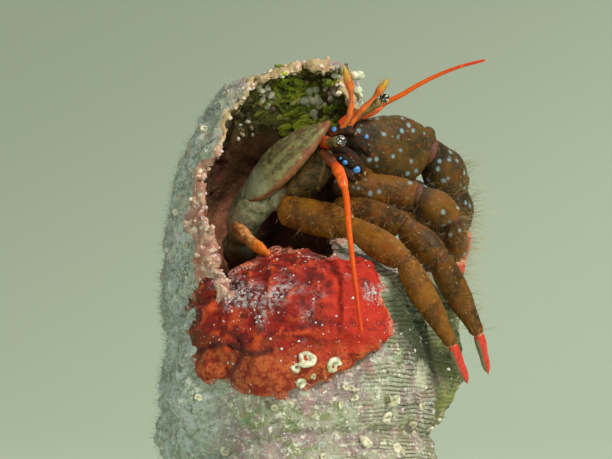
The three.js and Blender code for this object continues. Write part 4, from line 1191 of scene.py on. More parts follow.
class HERMIT_OT_crust(bpy.types.Operator):
    """What grows on the shell: sponge, worm tubes, algae, silt and turf"""

    bl_idname = "hermit.crust"
    bl_label = "Crust on the shell"

    def execute(self, context):
        look = context.scene.hermit_crust
        ground = Ground(MADE["shell"])
        self.sponge(look)
        self.tubes(look, Ground(MADE["shell"], MADE["sponge"]))
        self.algae(look, ground)
        self.scatter(look)
        return {"FINISHED"}

    @staticmethod
    def cleft(x, z):
        """Distance across the plane of the front to the sponge's two clefts."""
        return np.minimum(np.maximum(np.abs(x + 3.85 + 0.35 * np.sin(z * 2.1)) - 0.05, z + 5.8),
                          np.maximum(np.abs(z + 6.6 + 0.25 * np.sin(x * 1.7)) - 0.03, x + 1.9))

    def sponge(self, look):
        step = look.sponge_grain / MM
        low, high = (-7.6, -12.2, -11.2), (5.4, -2.5, -0.6)
        points = grid(low, high, step)
        degrees, radius, height = shell_polar(points)
        depth = (radius - outer_radius(degrees, height)) * 0.95
        del degrees, radius, height
        field = np.full(points.shape[:3], 9.0)
        rough = 0.26 * uneven(points, 1.0, 31) + 0.16 * uneven(points, 0.4, 32)
        x, z = points[..., 0] + rough, points[..., 2] - rough
        for across, up, wide, high_half, thick in LOBES:
            away = np.hypot((x - across) / wide, (z - up) / high_half)
            lobe = np.hypot(away * thick, depth) - thick
            lobe = np.maximum(lobe, -0.6 - depth)
            field = blend_min(field, lobe * 0.9, 0.3)
        field = np.maximum(field, -np.maximum(self.cleft(x, z), 0.45 - depth))
        field += 0.1 * uneven(points, 0.8, 33)
        net_points, faces = net(field, np.array(low), step)
        net_points = relaxed(net_points, faces, 2)
        degrees, radius, height = shell_polar(net_points)
        proud = radius - outer_radius(degrees, height)
        lumps = uneven(net_points, 0.45, 34, 2)
        veins = np.clip(1 - 3.2 * np.abs(uneven(net_points, 1.25, 35)), 0, 1)
        net_points = net_points + normals_of(net_points, faces) * (0.06 * lumps + 0.13 * veins)[:, None]
        x, z = net_points[:, 0], net_points[:, 2]
        frost = (np.exp(-((x + 2.7) / 2.7) ** 2 - ((z + 3.7) / 1.1) ** 2)
                 + np.exp(-((x - 4.0) / 0.9) ** 2 - ((z + 3.5) / 0.5) ** 2))
        silt = rise(frost + 0.45 * uneven(net_points, 1.2, 36, 2), 0.25, 0.95)
        shape = Shape().add(net_points, [faces], ridge=np.maximum(rise(lumps, 0.1, 0.7) * 0.6, veins), silt=silt,
                            cleft=1 - rise(self.cleft(x, z), 0.02, 0.25), edge=1 - rise(proud, 0.1, 0.35))
        MADE["sponge"] = shape
        shape.piece("sponge_lobes", sponge_finish(look), "sponge_red", ["sponge"])

    def tubes(self, look, ground):
        """Coiled worm tubes: the large ones by place, the small ones strewn."""
        rng = np.random.default_rng(41)
        strewn = [(rng.uniform(-6.5, 7), rng.uniform(-13, -8.5), rng.uniform(0.1, 0.22)) for _ in range(26)]
        found = [(*hit, wide) for x, z, wide in (*WORM_TUBES, *strewn) if (hit := ground.ahead(x, z))]
        points = np.array([p - n * 0.05 * w for p, n, w in found])
        mesh = source_mesh("tube_places", points, values={"size": [w * MM for _, _, w in found]},
                           vectors={"facing": [n for _, n, _ in found]})
        mat = plain_finish("Chalky tube", (look.tube, tone(176, 166, 136), tone(240, 236, 226)), 0.4, 0.6, 0.04)
        grow("worm_tubes", mesh, coil_tree(), {"Material": mat})

    def algae(self, look, ground):
        """Clusters of green leaves and of pale knobs under the top of the mouth."""
        rng = np.random.default_rng(51)
        leaves, knobs = Shape(), Shape()
        for x, z, spread, count in LEAVES:
            dense = count > 30
            for _ in range(count):
                away = rng.normal(0, spread, 2) * (1, 0.6)
                hit = ground.ahead(x + away[0], z + away[1])
                if not hit:
                    continue
                half = np.array((0.36, 0.17, 0.06)) * rng.uniform(0.45, 1.2) * (1.3 if dense else 1)
                way = np.array((1, 0.3, 0.2)) + rng.normal(0, 0.4, 3)
                skin = ball(hit[0] + hit[1] * rng.uniform(0.03, 0.3), half, 12, 14,
                            hit[1] + (0, 0, 2.2) + rng.normal(0, 0.6, 3), way)
                skin = swollen(skin, 0.7 * uneven(skin, 0.22, 52, 2), (0, 1))
                central = rise(-abs(away[1]), -1.5 * spread, 0) * (1 if dense else 0.4)
                leaves.tube(skin, light=0.3 + 0.8 * rng.uniform(0, 1) * central)
        for x, z, spread, count, wide in BARNACLES:
            proud = wide > 0.23
            for _ in range(count):
                hit = ground.ahead(*((x, z) + rng.normal(0, spread, 2)))
                if not hit:
                    continue
                half = wide * rng.uniform(0.5, 1.25) * rng.uniform(0.65, 1.2, 3)
                skin = ball(hit[0] + hit[1] * wide * (0.9 if proud else 0.4), half, 12, 14, (0, 0, 1),
                            rng.uniform(-1, 1, 3) + (1, 0, 0))
                skin = swollen(skin, 0.3 * uneven(skin, 0.22, 53, 2), (0, 1))
                knobs.tube(skin, light=rng.uniform(0.5 if proud else 0.0, 1))
        green = Finish("Green algae", 0.55, **{"Subsurface Weight": 0.1, "Subsurface Scale": 0.0004})
        light, fine = green.told("light"), green.noise(0.2, 3)
        colour = green.laid(
            tone(84, 98, 30),
            (look.algae, light + (fine - 0.5) * 0.8, 0.15, 0.75, 1),
            (tone(206, 200, 128), light + (fine - 0.5), 0.8, 1.0, 0.7),
            (tone(44, 46, 22), green.noise(0.5, 3), 0.55, 0.66, 0.6))
        green.done(colour, fine, 0.03)
        leaves.piece("algae_leaves", green.material, "algae")
        pale = Finish("Pale barnacles", 0.55)
        light, fine = pale.told("light"), pale.noise(0.16, 3)
        colour = pale.laid(
            tone(178, 142, 120),
            (tone(236, 226, 206), light + (fine - 0.5) * 0.6, 0.2, 0.5, 1),
            (tone(204, 210, 184), light, 0.66, 0.74, 1),
            (tone(96, 74, 54), fine, 0.6, 0.7, 0.7))
        pale.done(colour, fine, 0.03)
        knobs.piece("mouth_barnacles", pale.material, "worm_tube")

    def scatter(self, look):
        shell, sponge = MADE["shell"], MADE["sponge"]
        sand = plain_finish("Silt", (look.silt, tone(214, 204, 210), tone(150, 132, 140)), 0.2, 0.6, 0.01)
        amount = sponge.values["silt"] * rise(uneven(sponge.points, 0.5, 61, 2), -0.2, 0.5)
        mesh = sponge.source("silt_on_sponge", grains=amount + 0.06)
        tree = grain_tree()
        grow("silt_grains", mesh, tree, {"Density": 3e7, "Size": 0.085 * MM, "Seed": 3, "Material": sand})
        x = shell.points[:, 0]
        out, rim = 1 - shell.values["inner"], shell.values["rim"]
        left = rise(-x, 2.0, 5.0)
        patches = rise(uneven(shell.points, 1.6, 62, 2), -0.1, 0.6)
        thin = 0.5 + 0.5 * rise(uneven(shell.points, 1.3, 63), -0.4, 0.4)
        mesh = shell.source("shell_surface", "unwrap_u", "unwrap_v", grains=out * np.maximum(patches, 0.7 * left),
                            coat=out * (1 - rim) * (0.1 + 0.9 * left) * thin)
        grow("shell_grains", mesh.copy(), tree,
             {"Density": 2.6e6, "Size": 0.13 * MM, "Seed": 4, "Material": sand})
        knobs = changed(mesh, "grains", rim * rise(uneven(shell.points, 0.7, 64), -0.3, 0.4))
        pink = plain_finish("Rim knobs", (tone(208, 168, 152), tone(226, 208, 192), tone(150, 104, 86)),
                            0.35, 0.6, 0.02)
        grow("rim_knobs", knobs, tree,
             {"Density": 6e6, "Size": 0.2 * MM, "Smallest": 0.25, "Seed": 6, "Material": pink})
        turf = bpy.context.scene.hermit_shell.turf
        fuzz = plain_finish("Turf", (turf, tone(150, 160, 140), tone(204, 208, 192)), 0.6, 0.9, 0.01)
        grow("shell_turf", mesh, thread_tree(),
             {"Density": 2.6e7, "Length": look.turf_length, "Thickness": 0.014 * MM, "Shortest": 0.2, "Bend": 0.35,
              "Spread": 0.8, "Lie": (-0.1, 0, 0.1), "Seed": 5, "Material": fuzz}, coat=True)


class HERMIT_OT_body(bpy.types.Operator):
    """The soft skin, the shield and the small parts of the body"""

    bl_idname = "hermit.body"
    bl_label = "Body"

    def execute(self, context):
        look = context.scene.hermit_crab
        self.skin(look)
        self.shield(look)
        # the hind leg's orange, with cream specks as painted highlights and dark orange patches that are partly its own
        # colour and partly painted shade in its creases
        orange = plain_finish("Hind leg", (tone(206, 156, 92), tone(170, 84, 20), tone(232, 208, 166)), 0.35, 0.5, 0.04,
                              (0.5, 0.8, tone(222, 112, 14)))
        leg = sweep([(-3.95, -2.5, 0.2), (-3.1, -3.9, -0.68), (-2.05, -5.2, -1.45)],
                    [(0, 0.3, 0.3), (0.3, 0.42, 0.36), (0.42, 0.33, 0.3), (0.72, 0.36, 0.32), (1, 0.14, 0.14)],
                    UP, 60, 32)
        leg = swollen(leg, 0.16 * uneven(leg, 0.22, 75))
        Shape().tube(leg, (0, 0.05)).piece("hind_leg_right", orange, "leg_brown", ["leg4_right"])
        mouth = cuticle_finish("Mouthparts", tone(38, 25, 10), tone(18, 13, 7), tone(104, 42, 14), None, 0.7)
        for name, points in (("right", [(1.9, -3.8, 4.2), (2.8, -4.1, 3.9), (3.3, -4.0, 3.1)]),
                             ("left", [(2.3, -3.3, 4.9), (3.1, -3.6, 4.8), (3.7, -3.6, 4.1)])):
            foot = sweep(points, [(0, 0.3, 0.26), (0.42, 0.36, 0.3), (0.5, 0.28, 0.25), (0.8, 0.28, 0.24),
                                  (1, 0.1, 0.1)])
            Shape().tube(foot, (0, 0.1)).piece(f"mouth_foot_{name}", mouth, "claw_olive", [f"jawfoot_{name}"])
        palps, blue = Shape(), Shape()
        for points in ([(1.5, -3.6, 4.5), (2.2, -4.0, 4.4), (2.7, -3.9, 4.0), (2.9, -3.7, 3.5)],
                       [(1.2, -3.8, 3.8), (1.9, -4.4, 3.4), (2.5, -4.4, 3.0), (2.8, -4.1, 2.6)],
                       [(2.1, -3.1, 5.2), (2.7, -3.3, 5.2), (3.2, -3.2, 5.0), (3.5, -3.0, 4.7)],
                       [(1.4, -3.6, 5.4), (1.9, -3.8, 5.6), (2.4, -3.8, 5.6), (2.8, -3.6, 5.4)],
                       [(1.7, -3.8, 4.0), (2.2, -4.3, 3.9), (2.7, -4.2, 3.6), (3.0, -3.9, 3.2)]):
            palps.tube(sweep(points, [(0, 0.32, 0.3), (0.4, 0.28, 0.24), (0.8, 0.24, 0.2), (1, 0.1, 0.1)]))
        palps.piece("mouth_palps", mouth, "claw_olive")
        ground = Ground(palps)
        for x, z, wide in ((1.59, 5.64, 0.15), (2.2, 3.77, 0.14), (2.84, 3.37, 0.22), (3.4, 5.2, 0.12),
                           (1.95, 4.0, 0.08)):
            hit = ground.ahead(x, z)
            blue.tube(ball(hit[0] if hit else (x, -4.6, z), (wide, wide, wide * 0.5), 10, 16, UP, (1, 0, 0)))
        vivid = plain_finish("Blue spots", (tone(58, 140, 220), tone(36, 100, 190), tone(120, 190, 236)),
                             0.1, 0.3, 0.005)
        blue.piece("mouth_spots", vivid, "claw_olive")
        return {"FINISHED"}

    def skin(self, look):
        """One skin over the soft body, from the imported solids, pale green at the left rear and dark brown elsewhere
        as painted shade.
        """
        nodes = ["carapace", "thorax", "abdomen_front", "abdomen_rear"]
        joined = bmesh.new()
        for name in nodes:
            joined.from_mesh(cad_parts[name].data)
        bmesh.ops.remove_doubles(joined, verts=joined.verts, dist=0.005 * MM)
        mesh = bpy.data.meshes.new("skin_source")
        joined.to_mesh(mesh)
        joined.free()
        holder = bpy.data.objects.new("skin_source", mesh)
        bpy.context.scene.collection.objects.link(holder)
        remesh = holder.modifiers.new("even", "REMESH")
        remesh.mode, remesh.voxel_size = "VOXEL", 0.13 * MM
        even = holder.evaluated_get(bpy.context.evaluated_depsgraph_get())
        mesh = bpy.data.meshes.new_from_object(even)
        bpy.data.objects.remove(holder)
        points = np.zeros(len(mesh.vertices) * 3)
        mesh.vertices.foreach_get("co", points)
        points = points.reshape(-1, 3) / MM - MOUTH
        faces = np.array([tuple(p.vertices) for p in mesh.polygons])
        points = relaxed(points, faces, 14)
        folds = 0.07 * uneven(points, 0.9, 71, 2) + 0.04 * np.sin(uneven(points, 1.5, 72) * 9)
        points = points + normals_of(points, faces) * (folds - 0.02)[:, None]
        mat = Finish("Soft skin", 0.5, **{"Specular IOR Level": 0.3, "Subsurface Weight": 0.1,
                                          "Subsurface Scale": 0.0006})
        x, _, z = mat.axes()
        patch, small, fine = mat.noise(0.9, 4, 0.65), mat.noise(0.3, 4, 0.65), mat.noise(0.1, 2)
        pale = mat.laid(look.skin, (tone(112, 128, 88), patch, 0.46, 0.6, 1),
                        (tone(214, 212, 190), small, 0.46, 0.62, 0.8))
        # painted shade: a dark brown that the soft skin takes everywhere but at the left rear, for the shade right of
        # the shield
        dark = mat.laid(tone(88, 62, 26), (tone(46, 36, 16), small, 0.44, 0.6, 1),
                        (tone(118, 80, 36), fine, 0.56, 0.7, 0.5))
        rear = mat.step(-x + (patch - 0.5) * 2.4, 1.0, 2.4) * mat.step(z, 36.5, 38.5)
        mat.done(mat.mix(dark, pale, rear), patch * 2 + small + fine * 0.5, 0.05, 0.4 + small * 0.3)
        Shape().add(points, [faces]).piece("soft_skin", mat.material, "skin_soft", nodes)

    def shield(self, look):
        """The hard shield: pointed in front, with a mid ridge, a groove and brown margins."""
        dorsal = np.array((-0.69, -0.46, 0.54))
        halves = [(0, 0.3, 0.5), (0.12, 0.55, 1.3), (0.3, 0.66, 1.75), (0.5, 0.66, 1.75), (0.72, 0.5, 1.35),
                  (0.86, 0.38, 0.75), (1, 0.14, 0.1)]
        count, sides = 100, 96
        skin = sweep([(-3.3, -2.55, 1.85), (-1.1, -3.45, 4.05), (1.35, -4.0, 6.05)], halves, dorsal, count, sides)
        angle = np.arange(sides) / sides * FULL_TURN
        t = np.linspace(0, 1, count)[:, None]
        top = np.maximum(0, np.cos(angle))
        groove = np.exp(-((t - 0.36 - 0.1 * np.abs(np.sin(angle))) / 0.02) ** 2) * top
        sides_groove = np.exp(-((np.abs(np.sin(angle)) - 0.5) / 0.07) ** 2)
        groove += 0.7 * sides_groove * top * rise(t, 0.3, 0.4) * (1 - rise(t, 0.7, 0.8))
        ridge = np.exp(-(np.sin(angle) / 0.12) ** 2) * top * rise(t, 0.4, 0.9)
        bumps = 0.03 * uneven(skin, 0.6, 73, 2) + 0.02 * uneven(skin, 0.22, 74)
        skin = swollen(skin, 0.1 * ridge - 0.09 * groove + bumps)
        edge = np.broadcast_to(np.abs(np.sin(angle)) ** 12, skin.shape[:2])
        mat = Finish("Shield", 0.5)
        along, margin, around = mat.told("along"), mat.told("margin"), mat.told("around")
        small, fine = mat.noise(0.45, 5, 0.7), mat.noise(0.1, 2, 0.6)
        streak = ((around * 60 + small * 3).sin() * 0.5 + 0.5) * mat.step(along, 0.2, 0.4)
        colour = mat.laid(
            look.shield,
            (tone(74, 62, 34), small + streak * 0.12, 0.48, 0.64, 0.9),
            (tone(170, 164, 124), small * 0.5 + fine * 0.5, 0.54, 0.64, 0.6),
            (tone(158, 164, 136), -along + (small - 0.5) * 0.2, -0.34, -0.16, 0.75),
            (tone(128, 72, 34), (margin * mat.step(small + margin * 0.4, 0.55, 0.8)).held()),
            (tone(118, 52, 26), mat.noise(0.9, 2), 0.58, 0.7, 0.6),
            (tone(132, 60, 30), along, 0.9, 0.97, 0.6))
        mat.done(colour, small * 2 + fine, 0.03, 0.45 + small * 0.25)
        Shape().tube(skin, (0.05, 0.05), margin=np.append(edge.ravel(), (1, 1))).piece(
            "shield_plate", mat.material, "shield_olive", ["shield"])


class HERMIT_OT_limbs(bpy.types.Operator):
    """Walking legs and claws, length by length, with the soft skin of their joints"""

    bl_idname = "hermit.limbs"
    bl_label = "Legs and claws"

    def execute(self, context):
        look = context.scene.hermit_crab
        brown = cuticle_finish("Leg cuticle", look.leg, tone(70, 42, 8), tone(160, 96, 22))
        # the lower claw's cuticle, with painted shadow over the first 0.3 of each length
        rust = cuticle_finish("Lower claw cuticle", tuple(c * k for c, k in zip(look.claw, (1.9, 1.45, 0.9))),
                              tone(52, 32, 8), tone(136, 76, 18), look.spot, 0.55, 0.3)
        # a darker copy of the leg cuticle, as painted shade, for the walking legs behind the nearest one
        shaded_leg_cuticle = cuticle_finish("Second leg cuticle", tuple(0.6 * c for c in look.leg), tone(44, 28, 6),
                               tone(128, 80, 22))
        # the upper claw's cuticle, with painted shadow over the first 0.3 of each length
        olive = cuticle_finish("Claw cuticle", look.claw, tone(36, 27, 8), tone(116, 64, 16), look.spot, 0.55, 0.3)
        tip = self.tip_finish(look)
        soft = plain_finish("Joint skin", (tone(96, 40, 16), tone(62, 24, 10), tone(140, 84, 48)), 0.3, 0.6)
        joints_shape, coat = Shape(), Shape()
        for name, (joints, k) in LEGS.items():
            for n, part in enumerate(leg_parts(k)):
                last = n == 3
                self.keep(name, part[0], limb_length(joints, n, part, last),
                          # the nearest walking leg keeps the plain leg cuticle; the others take the darker copy in
                          # painted shade
                          tip if last else brown if name == "leg3_right" else shaded_leg_cuticle,
                          "dactyl_red" if last else "leg_brown", coat, 0.5 if last else 1.0)
            self.membranes(joints_shape, joints, [p[1] for p in leg_parts(k)])
        for name, (joints, k, broad, tip_end, apart, wide) in CLAWS.items():
            parts = claw_parts(k, broad)
            for n, part in enumerate(parts):
                self.keep(name, part[0], limb_length(joints, n, part, n == 2, 90, 72),
                          olive if name == "claw_left" else rust, "claw_olive", coat, (0.4, 1.0, 1.7)[n])
            self.membranes(joints_shape, joints, [p[1] for p in parts])
            self.fingers(name, np.array(joints[-1]), np.array(tip_end), np.array(apart), wide, tip, coat)
        joints_shape.piece("joint_skin", soft, "skin_soft")
        MADE["coat"] = coat
        return {"FINISHED"}

    def keep(self, name, part, skin, mat, slot, coat, amount):
        Shape().tube(skin, (0.03, 0.02)).piece(f"{name}_{part}_plate", mat, slot, [f"{name}_{part}"])
        number = len(coat.faces) // 3
        along, around = tube_shares(*skin.shape[:2])
        columns = 6
        coat.tube(skin, coat=amount * rise(along, 0.02, 0.2),
                  unwrap_u=(number % columns + 0.05 + 0.9 * around) / columns,
                  unwrap_v=(number // columns + 0.05 + 0.9 * along) / columns)

    def membranes(self, shape, joints, thick):
        for n in range(1, len(joints) - 1):
            half = thick[n] * (0.74 if len(joints) == 5 else 0.88)
            way = unit(np.array(joints[n + 1]) - np.array(joints[n - 1]))
            shape.tube(ball(joints[n], (half * 0.7, half, half * 0.82), 14, 20, UP, way))

    def fingers(self, name, palm, tip_end, apart, wide, mat, coat):
        length = tip_end - palm
        for part, way in (("finger", 1), ("thumb", -1)):
            points = [palm + length * share + apart * off * way
                      for share, off in ((0.12, 0.42 * wide), (0.55, 0.46 * wide), (1, 0.22))]
            skin = sweep(points, [(0, 0.34 * wide, 0.46 * wide), (0.5, 0.33 * wide, 0.42 * wide), (0.85, 0.22, 0.24),
                                  (1, 0.07, 0.08)], apart, 48, 32)
            skin = swollen(skin, 0.1 * uneven(skin, 0.3, 91))
            self.keep(name, part, skin, mat, "dactyl_red", coat, 1.8)

    def tip_finish(self, look):
        mat = Finish("Red leg tip", 0.35)
        along, around = mat.told("along"), mat.told("around")
        small = mat.noise(0.25, 3, 0.6)
        colour = mat.laid(
            look.dactyl,
            (tone(150, 30, 16), small, 0.45, 0.65, 1),
            (tone(112, 124, 96), -(around - 0.5).abs(), -0.12, -0.06, mat.step(along, 0.1, 0.25) * 0.85),
            (tone(214, 150, 110), -along, -0.12, -0.04, 0.6),
            (tone(40, 22, 16), along, 0.93, 0.97, 1))
        return mat.done(colour, small, 0.012)


class HERMIT_OT_head(bpy.types.Operator):
    """Eyes on their stalks, antennae and antennules"""

    bl_idname = "hermit.head"
    bl_label = "Head"

    def execute(self, context):
        look = context.scene.hermit_crab
        self.eyes()
        self.feelers(look)
        return {"FINISHED"}

    def eyes(self):
        stalk = Finish("Eye stalk", 0.4)
        along, small = stalk.told("along"), stalk.noise(0.3, 3)
        olive = stalk.laid(tone(118, 98, 44), (tone(84, 66, 28), small, 0.45, 0.6, 1))
        colour = stalk.laid(tone(206, 64, 20), (olive, along + (small - 0.5) * 0.2, 0.3, 0.55, 1))
        stalk.done(colour, small, 0.012)
        cornea = Finish("Cornea", 0.08, **{"Coat Weight": 1.0, "Coat Roughness": 0.04})
        white = cornea.laid(tone(208, 206, 192), (tone(128, 132, 120), cornea.noise(0.12, 2), 0.5, 0.7, 1))
        cornea.done(cornea.laid(tone(8, 8, 10), (white, -cornea.cells(0.19, 0.85), -0.36, -0.28, 1)))
        for side, base, middle, neck, end, round_half in (
            ("right", (0.95, -3.6, 4.9), (1.4, -4.6, 4.95), (1.78, -5.4, 4.94), (1.98, -5.82, 4.96), 0.32),
            ("left", (1.95, -2.7, 5.85), (3.1, -2.8, 6.6), (4.16, -2.84, 7.26), (4.48, -2.9, 7.46), 0.29),
        ):
            skin = sweep([base, middle, neck],
                         [(0, 0.3, 0.3), (0.15, 0.36, 0.34), (0.5, 0.25, 0.25), (0.85, 0.27, 0.27),
                          (0.96, 0.29, 0.29), (1, 0.26, 0.26)], UP, 60, 28)
            Shape().tube(skin, (0, 0.12)).piece(f"eye_stalk_{side}", stalk.material, "eyestalk_olive",
                                                [f"eyestalk_{side}"])
            way = unit(np.array(end) - np.array(neck))
            egg = ball(np.array(end) - way * 0.05, (round_half,) * 3, 24, 32, UP, way)
            Shape().tube(egg, (0.01, 0.01)).piece(f"cornea_{side}", cornea.material, "cornea", [f"eye_{side}"])

    def feelers(self, look):
        soft = {"Subsurface Weight": 0.2, "Subsurface Scale": 0.0004}
        orange = Finish("Antenna", 0.5, **{"Specular IOR Level": 0.25}, **soft)
        along, small = orange.told("along"), orange.noise(0.25, 3)
        colour = orange.laid(look.antenna, (tone(192, 54, 4), along + (small - 0.5) * 0.4, 0.3, 0.9, 1),
                             (tone(230, 122, 20), small, 0.56, 0.7, 0.4))
        orange.done(colour, small, 0.01)
        yellow = plain_finish("Antennule", (tone(206, 96, 14), tone(172, 74, 12), tone(232, 136, 40)), 0.4, 0.4, 0.01,
                              (0.74, 0.95, tone(196, 158, 48)), **soft)
        bases = Finish("Antenna base", 0.4)
        along, small = bases.told("along"), bases.noise(0.3, 3)
        bright = bases.laid(tone(236, 100, 10), (tone(204, 70, 10), small, 0.45, 0.62, 1))
        bases.done(bases.laid(tone(112, 52, 22), (bright, along + (small - 0.5) * 0.2, 0.36, 0.56, 1)), small, 0.02)
        tree = feeler_tree()
        for name, points, thick in (
            ("antenna_right", [(2.15, -6.75, 2.3), (2.2, -6.98, 2.05), (2.38, -8.7, 0), (2.6, -10.3, -2),
                               (2.84, -11.5, -4), (3.05, -12, -5.75)], (0.2, 0.11)),
            ("antenna_left", [(4.3, -1.85, 7.05), (4.5, -1.9, 7.18), (5.35, -2, 7.6), (6.46, -2.1, 8.25),
                              (8.7, -2.3, 9.22), (10.15, -2.4, 9.6)], (0.17, 0.08)),
        ):
            line = path(points, np.linspace(0, 1, 60))[0]
            mesh = source_mesh(name + "_line", line, edges=[(i, i + 1) for i in range(59)])
            obj = grow(name + "_ringed", mesh, tree,
                       {"Base": thick[0] * MM, "Tip": thick[1] * MM, "Ring": 0.16 * MM, "Groove": 0.14,
                        "Material": orange.material})
            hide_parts(name)
        for name, points, halves in (
            ("antenna_base_right", [(0.9, -4.4, 4.35), (1.5, -5.2, 3.75), (1.9, -6.1, 3.1), (2.15, -6.75, 2.3)],
             [(0, 0.2, 0.2), (0.3, 0.3, 0.28), (0.38, 0.25, 0.25), (0.62, 0.33, 0.33), (0.7, 0.3, 0.3),
              (0.9, 0.28, 0.28), (1, 0.2, 0.2)]),
            ("antenna_base_left", [(2.3, -1.75, 5.55), (2.9, -1.75, 6.1), (3.7, -1.8, 6.7), (4.3, -1.85, 7.05)],
             [(0, 0.3, 0.3), (0.3, 0.32, 0.32), (0.4, 0.24, 0.24), (0.8, 0.28, 0.28), (1, 0.19, 0.19)]),
        ):
            Shape().tube(sweep(points, halves, UP, 60, 24)).piece(name + "_joints", bases.material,
                                                                  "antenna_orange", [name])
        brush = Shape()
        for name, points, crook in (
            ("antennule_right", [(1.75, -3.7, 5.4), (2.35, -4.1, 6.2), (2.5, -4.2, 7.9), (2.3, -4.3, 8.6),
                                 (2.15, -4.3, 9.2)], 0.72),
            ("antennule_left", [(2.3, -3.35, 5.6), (2.75, -3.5, 6.25), (4.1, -3.6, 7.75), (4.65, -3.65, 8.5)], 0.78),
        ):
            halves = [(0, 0.2, 0.2), (0.3, 0.14, 0.14), (0.36, 0.17, 0.17), (crook - 0.1, 0.14, 0.14),
                      (crook, 0.24, 0.24), (0.88, 0.17, 0.15), (1, 0.03, 0.03)]
            stem = sweep(points, halves, UP, 70, 20)
            Shape().tube(stem).piece(name + "_stem", yellow, "antenna_orange", [name])
            along = tube_shares(70, 20)[0]
            brush.tube(stem, coat=rise(along, crook, crook + 0.08), unwrap_u=0.3 + 0.4 * along,
                       unwrap_v=0.2 + 0.6 * along)
        mesh = brush.source("brushes", "coat", "unwrap_u", "unwrap_v")
        hair = plain_finish("Brush hairs", (tone(206, 164, 62), tone(176, 132, 48), tone(232, 206, 128)), 0.2, 0.5, 0.0)
        grow("antennule_brushes", mesh, thread_tree(),
             {"Density": 1.6e8, "Length": 0.5 * MM, "Thickness": 0.01 * MM, "Shortest": 0.3, "Bend": 0.2,
              "Spread": 0.3, "Lie": (0.1, 0, 1.2), "Seed": 9, "Material": hair}, coat=True)


class HERMIT_OT_bristles(bpy.types.Operator):
    """Bristles on the legs and long hairs on the claws"""

    bl_idname = "hermit.bristles"
    bl_label = "Bristles"

    def execute(self, context):
        look = context.scene.hermit_crab
        coat = MADE["coat"]
        mesh = coat.source("limb_surface", "coat", "unwrap_u", "unwrap_v")
        amount = coat.values["coat"]
        long_mesh = changed(mesh, "coat", np.where(amount > 0.8, amount, 0.0) * rise(coat.points[:, 0], 7.6, 8.9))
        mat = plain_finish("Bristle", (look.bristle, tone(170, 140, 92), tone(232, 224, 190)), 0.3, 0.45, 0.0)
        tree = thread_tree()
        grow("limb_bristles", mesh, tree,
             {"Density": 3.4e6, "Length": look.bristle_length, "Thickness": 0.01 * MM, "Shortest": 0.25, "Bend": 0.3,
              "Spread": 0.5, "Lie": (0.1, 0, -0.5), "Seed": 7, "Material": mat}, coat=True)
        grow("claw_hairs", long_mesh, tree,
             {"Density": 6e6, "Length": 1.8 * MM, "Thickness": 0.012 * MM, "Shortest": 0.3, "Bend": 0.25,
              "Spread": 0.7, "Lie": (0.6, -0.2, 0.0), "Seed": 8, "Material": mat}, coat=True)
        return {"FINISHED"}


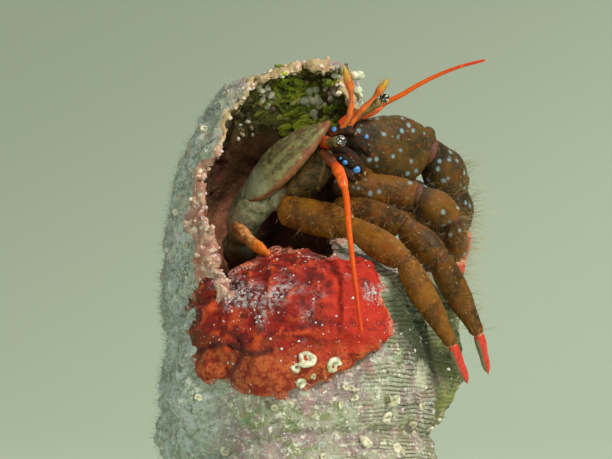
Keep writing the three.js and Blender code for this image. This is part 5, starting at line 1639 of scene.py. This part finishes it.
class HERMIT_OT_base(bpy.types.Operator):
    """The turned wooden base with the collar that holds the shell"""

    bl_idname = "hermit.base"
    bl_label = "Base"

    def execute(self, context):
        look = context.scene.hermit_base
        disc = [(0.02, 0), (15.0, 0), (15.4, 0.15), (15.5, 0.5), (15.5, 2.3), (15.42, 2.7), (15.1, 3.1), (14.7, 3.32),
                (14.2, 3.4), (13.6, 3.4), (13.4, 3.32), (13.2, 3.4), (6.0, 3.4), (0.02, 3.4)]
        foot = FOOT + AXIS * WORN + MOUTH
        middle = np.array((foot[0], foot[1] + 0.4, 0))
        wall = [(7.0, 3.3), (7.0, 3.4), (6.6, 3.55), (6.05, 3.9), (5.6, 4.45), (5.4, 5.1), (5.25, 6.2), (5.1, 7.1),
                (4.95, 7.55), (4.7, 7.78), (4.45, 7.8)]
        sides = 144
        angle = np.arange(sides) / sides * FULL_TURN
        circle = np.stack([np.cos(angle), np.sin(angle), 0 * angle], 1)
        shape = Shape()
        shape.tube(np.array([circle * r + (0, 0, z) for r, z in disc]) - MOUTH)
        inner = []
        for height in (9.6, 8.6, 7.4, WORN - 0.1):
            radius = cone(max(height, LIP_SUTURE * GROWTH ** -TURNS) + 0.6) * 1.07 + GAP
            inner.append(FOOT + AXIS * height + (circle[:, :2] @ TURNED[:2]) * radius)
        collar = [circle * r + middle + (0, 0, z) - MOUTH for r, z in wall] + inner
        shape.tube(np.array(collar))
        mat = Finish("Dark wood", 0.4, **{"Coat Weight": 0.25, "Coat Roughness": 0.25})
        stretched = mat.wire("ShaderNodeMapping", None, {"Vector": mat.place, "Scale": (0.12, 1, 1)})
        grain, pores = mat.noise(1.6, 4, 0.6, 1.2, stretched), mat.noise(0.35, 2, 0.6, 0, stretched)
        rings_wave = (mat.axes()[1] * 1.3 + grain * 9).sin() * 0.5 + 0.5
        colour = mat.laid(look.wood, (tone(34, 22, 16), rings_wave, 0.3, 0.9, 0.7),
                          (tone(98, 68, 46), grain, 0.5, 0.7, 0.5), (tone(22, 14, 10), pores, 0.6, 0.68, 0.6))
        mat.done(colour, pores - rings_wave * 0.3, 0.03, 0.32 + pores * 0.25)
        shape.piece("stand_base_turned", mat.material, "stand_wood", ["stand_base"])
        return {"FINISHED"}


OPERATORS = (HERMIT_OT_stage, HERMIT_OT_shell, HERMIT_OT_crust, HERMIT_OT_body, HERMIT_OT_limbs, HERMIT_OT_head,
             HERMIT_OT_bristles, HERMIT_OT_base)
SETTINGS = {"hermit_stage": HermitStageSettings, "hermit_shell": HermitShellSettings,
            "hermit_crust": HermitCrustSettings, "hermit_crab": HermitCrabSettings, "hermit_base": HermitBaseSettings}


class HERMIT_PT_panel(bpy.types.Panel):
    """Lists the settings and the pieces"""

    bl_label = "Hermit crab"
    bl_idname = "HERMIT_PT_panel"
    bl_space_type = "VIEW_3D"
    bl_region_type = "UI"
    bl_category = "Hermit crab"

    def draw(self, context):
        for key, kind in SETTINGS.items():
            box = self.layout.box()
            for name in kind.__annotations__:
                box.prop(getattr(context.scene, key), name)
        for operator in OPERATORS:
            self.layout.operator(operator.bl_idname)


def register():
    for kind in (*SETTINGS.values(), *OPERATORS, HERMIT_PT_panel):
        bpy.utils.register_class(kind)
    for key, kind in SETTINGS.items():
        setattr(bpy.types.Scene, key, bpy.props.PointerProperty(type=kind))


def unregister():
    for key in SETTINGS:
        delattr(bpy.types.Scene, key)
    for kind in reversed((*SETTINGS.values(), *OPERATORS, HERMIT_PT_panel)):
        bpy.utils.unregister_class(kind)


def main():
    register()
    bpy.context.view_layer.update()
    for operator in OPERATORS:
        group, name = operator.bl_idname.split(".")
        getattr(getattr(bpy.ops, group), name)()


if __name__ == "__main__":
    main()
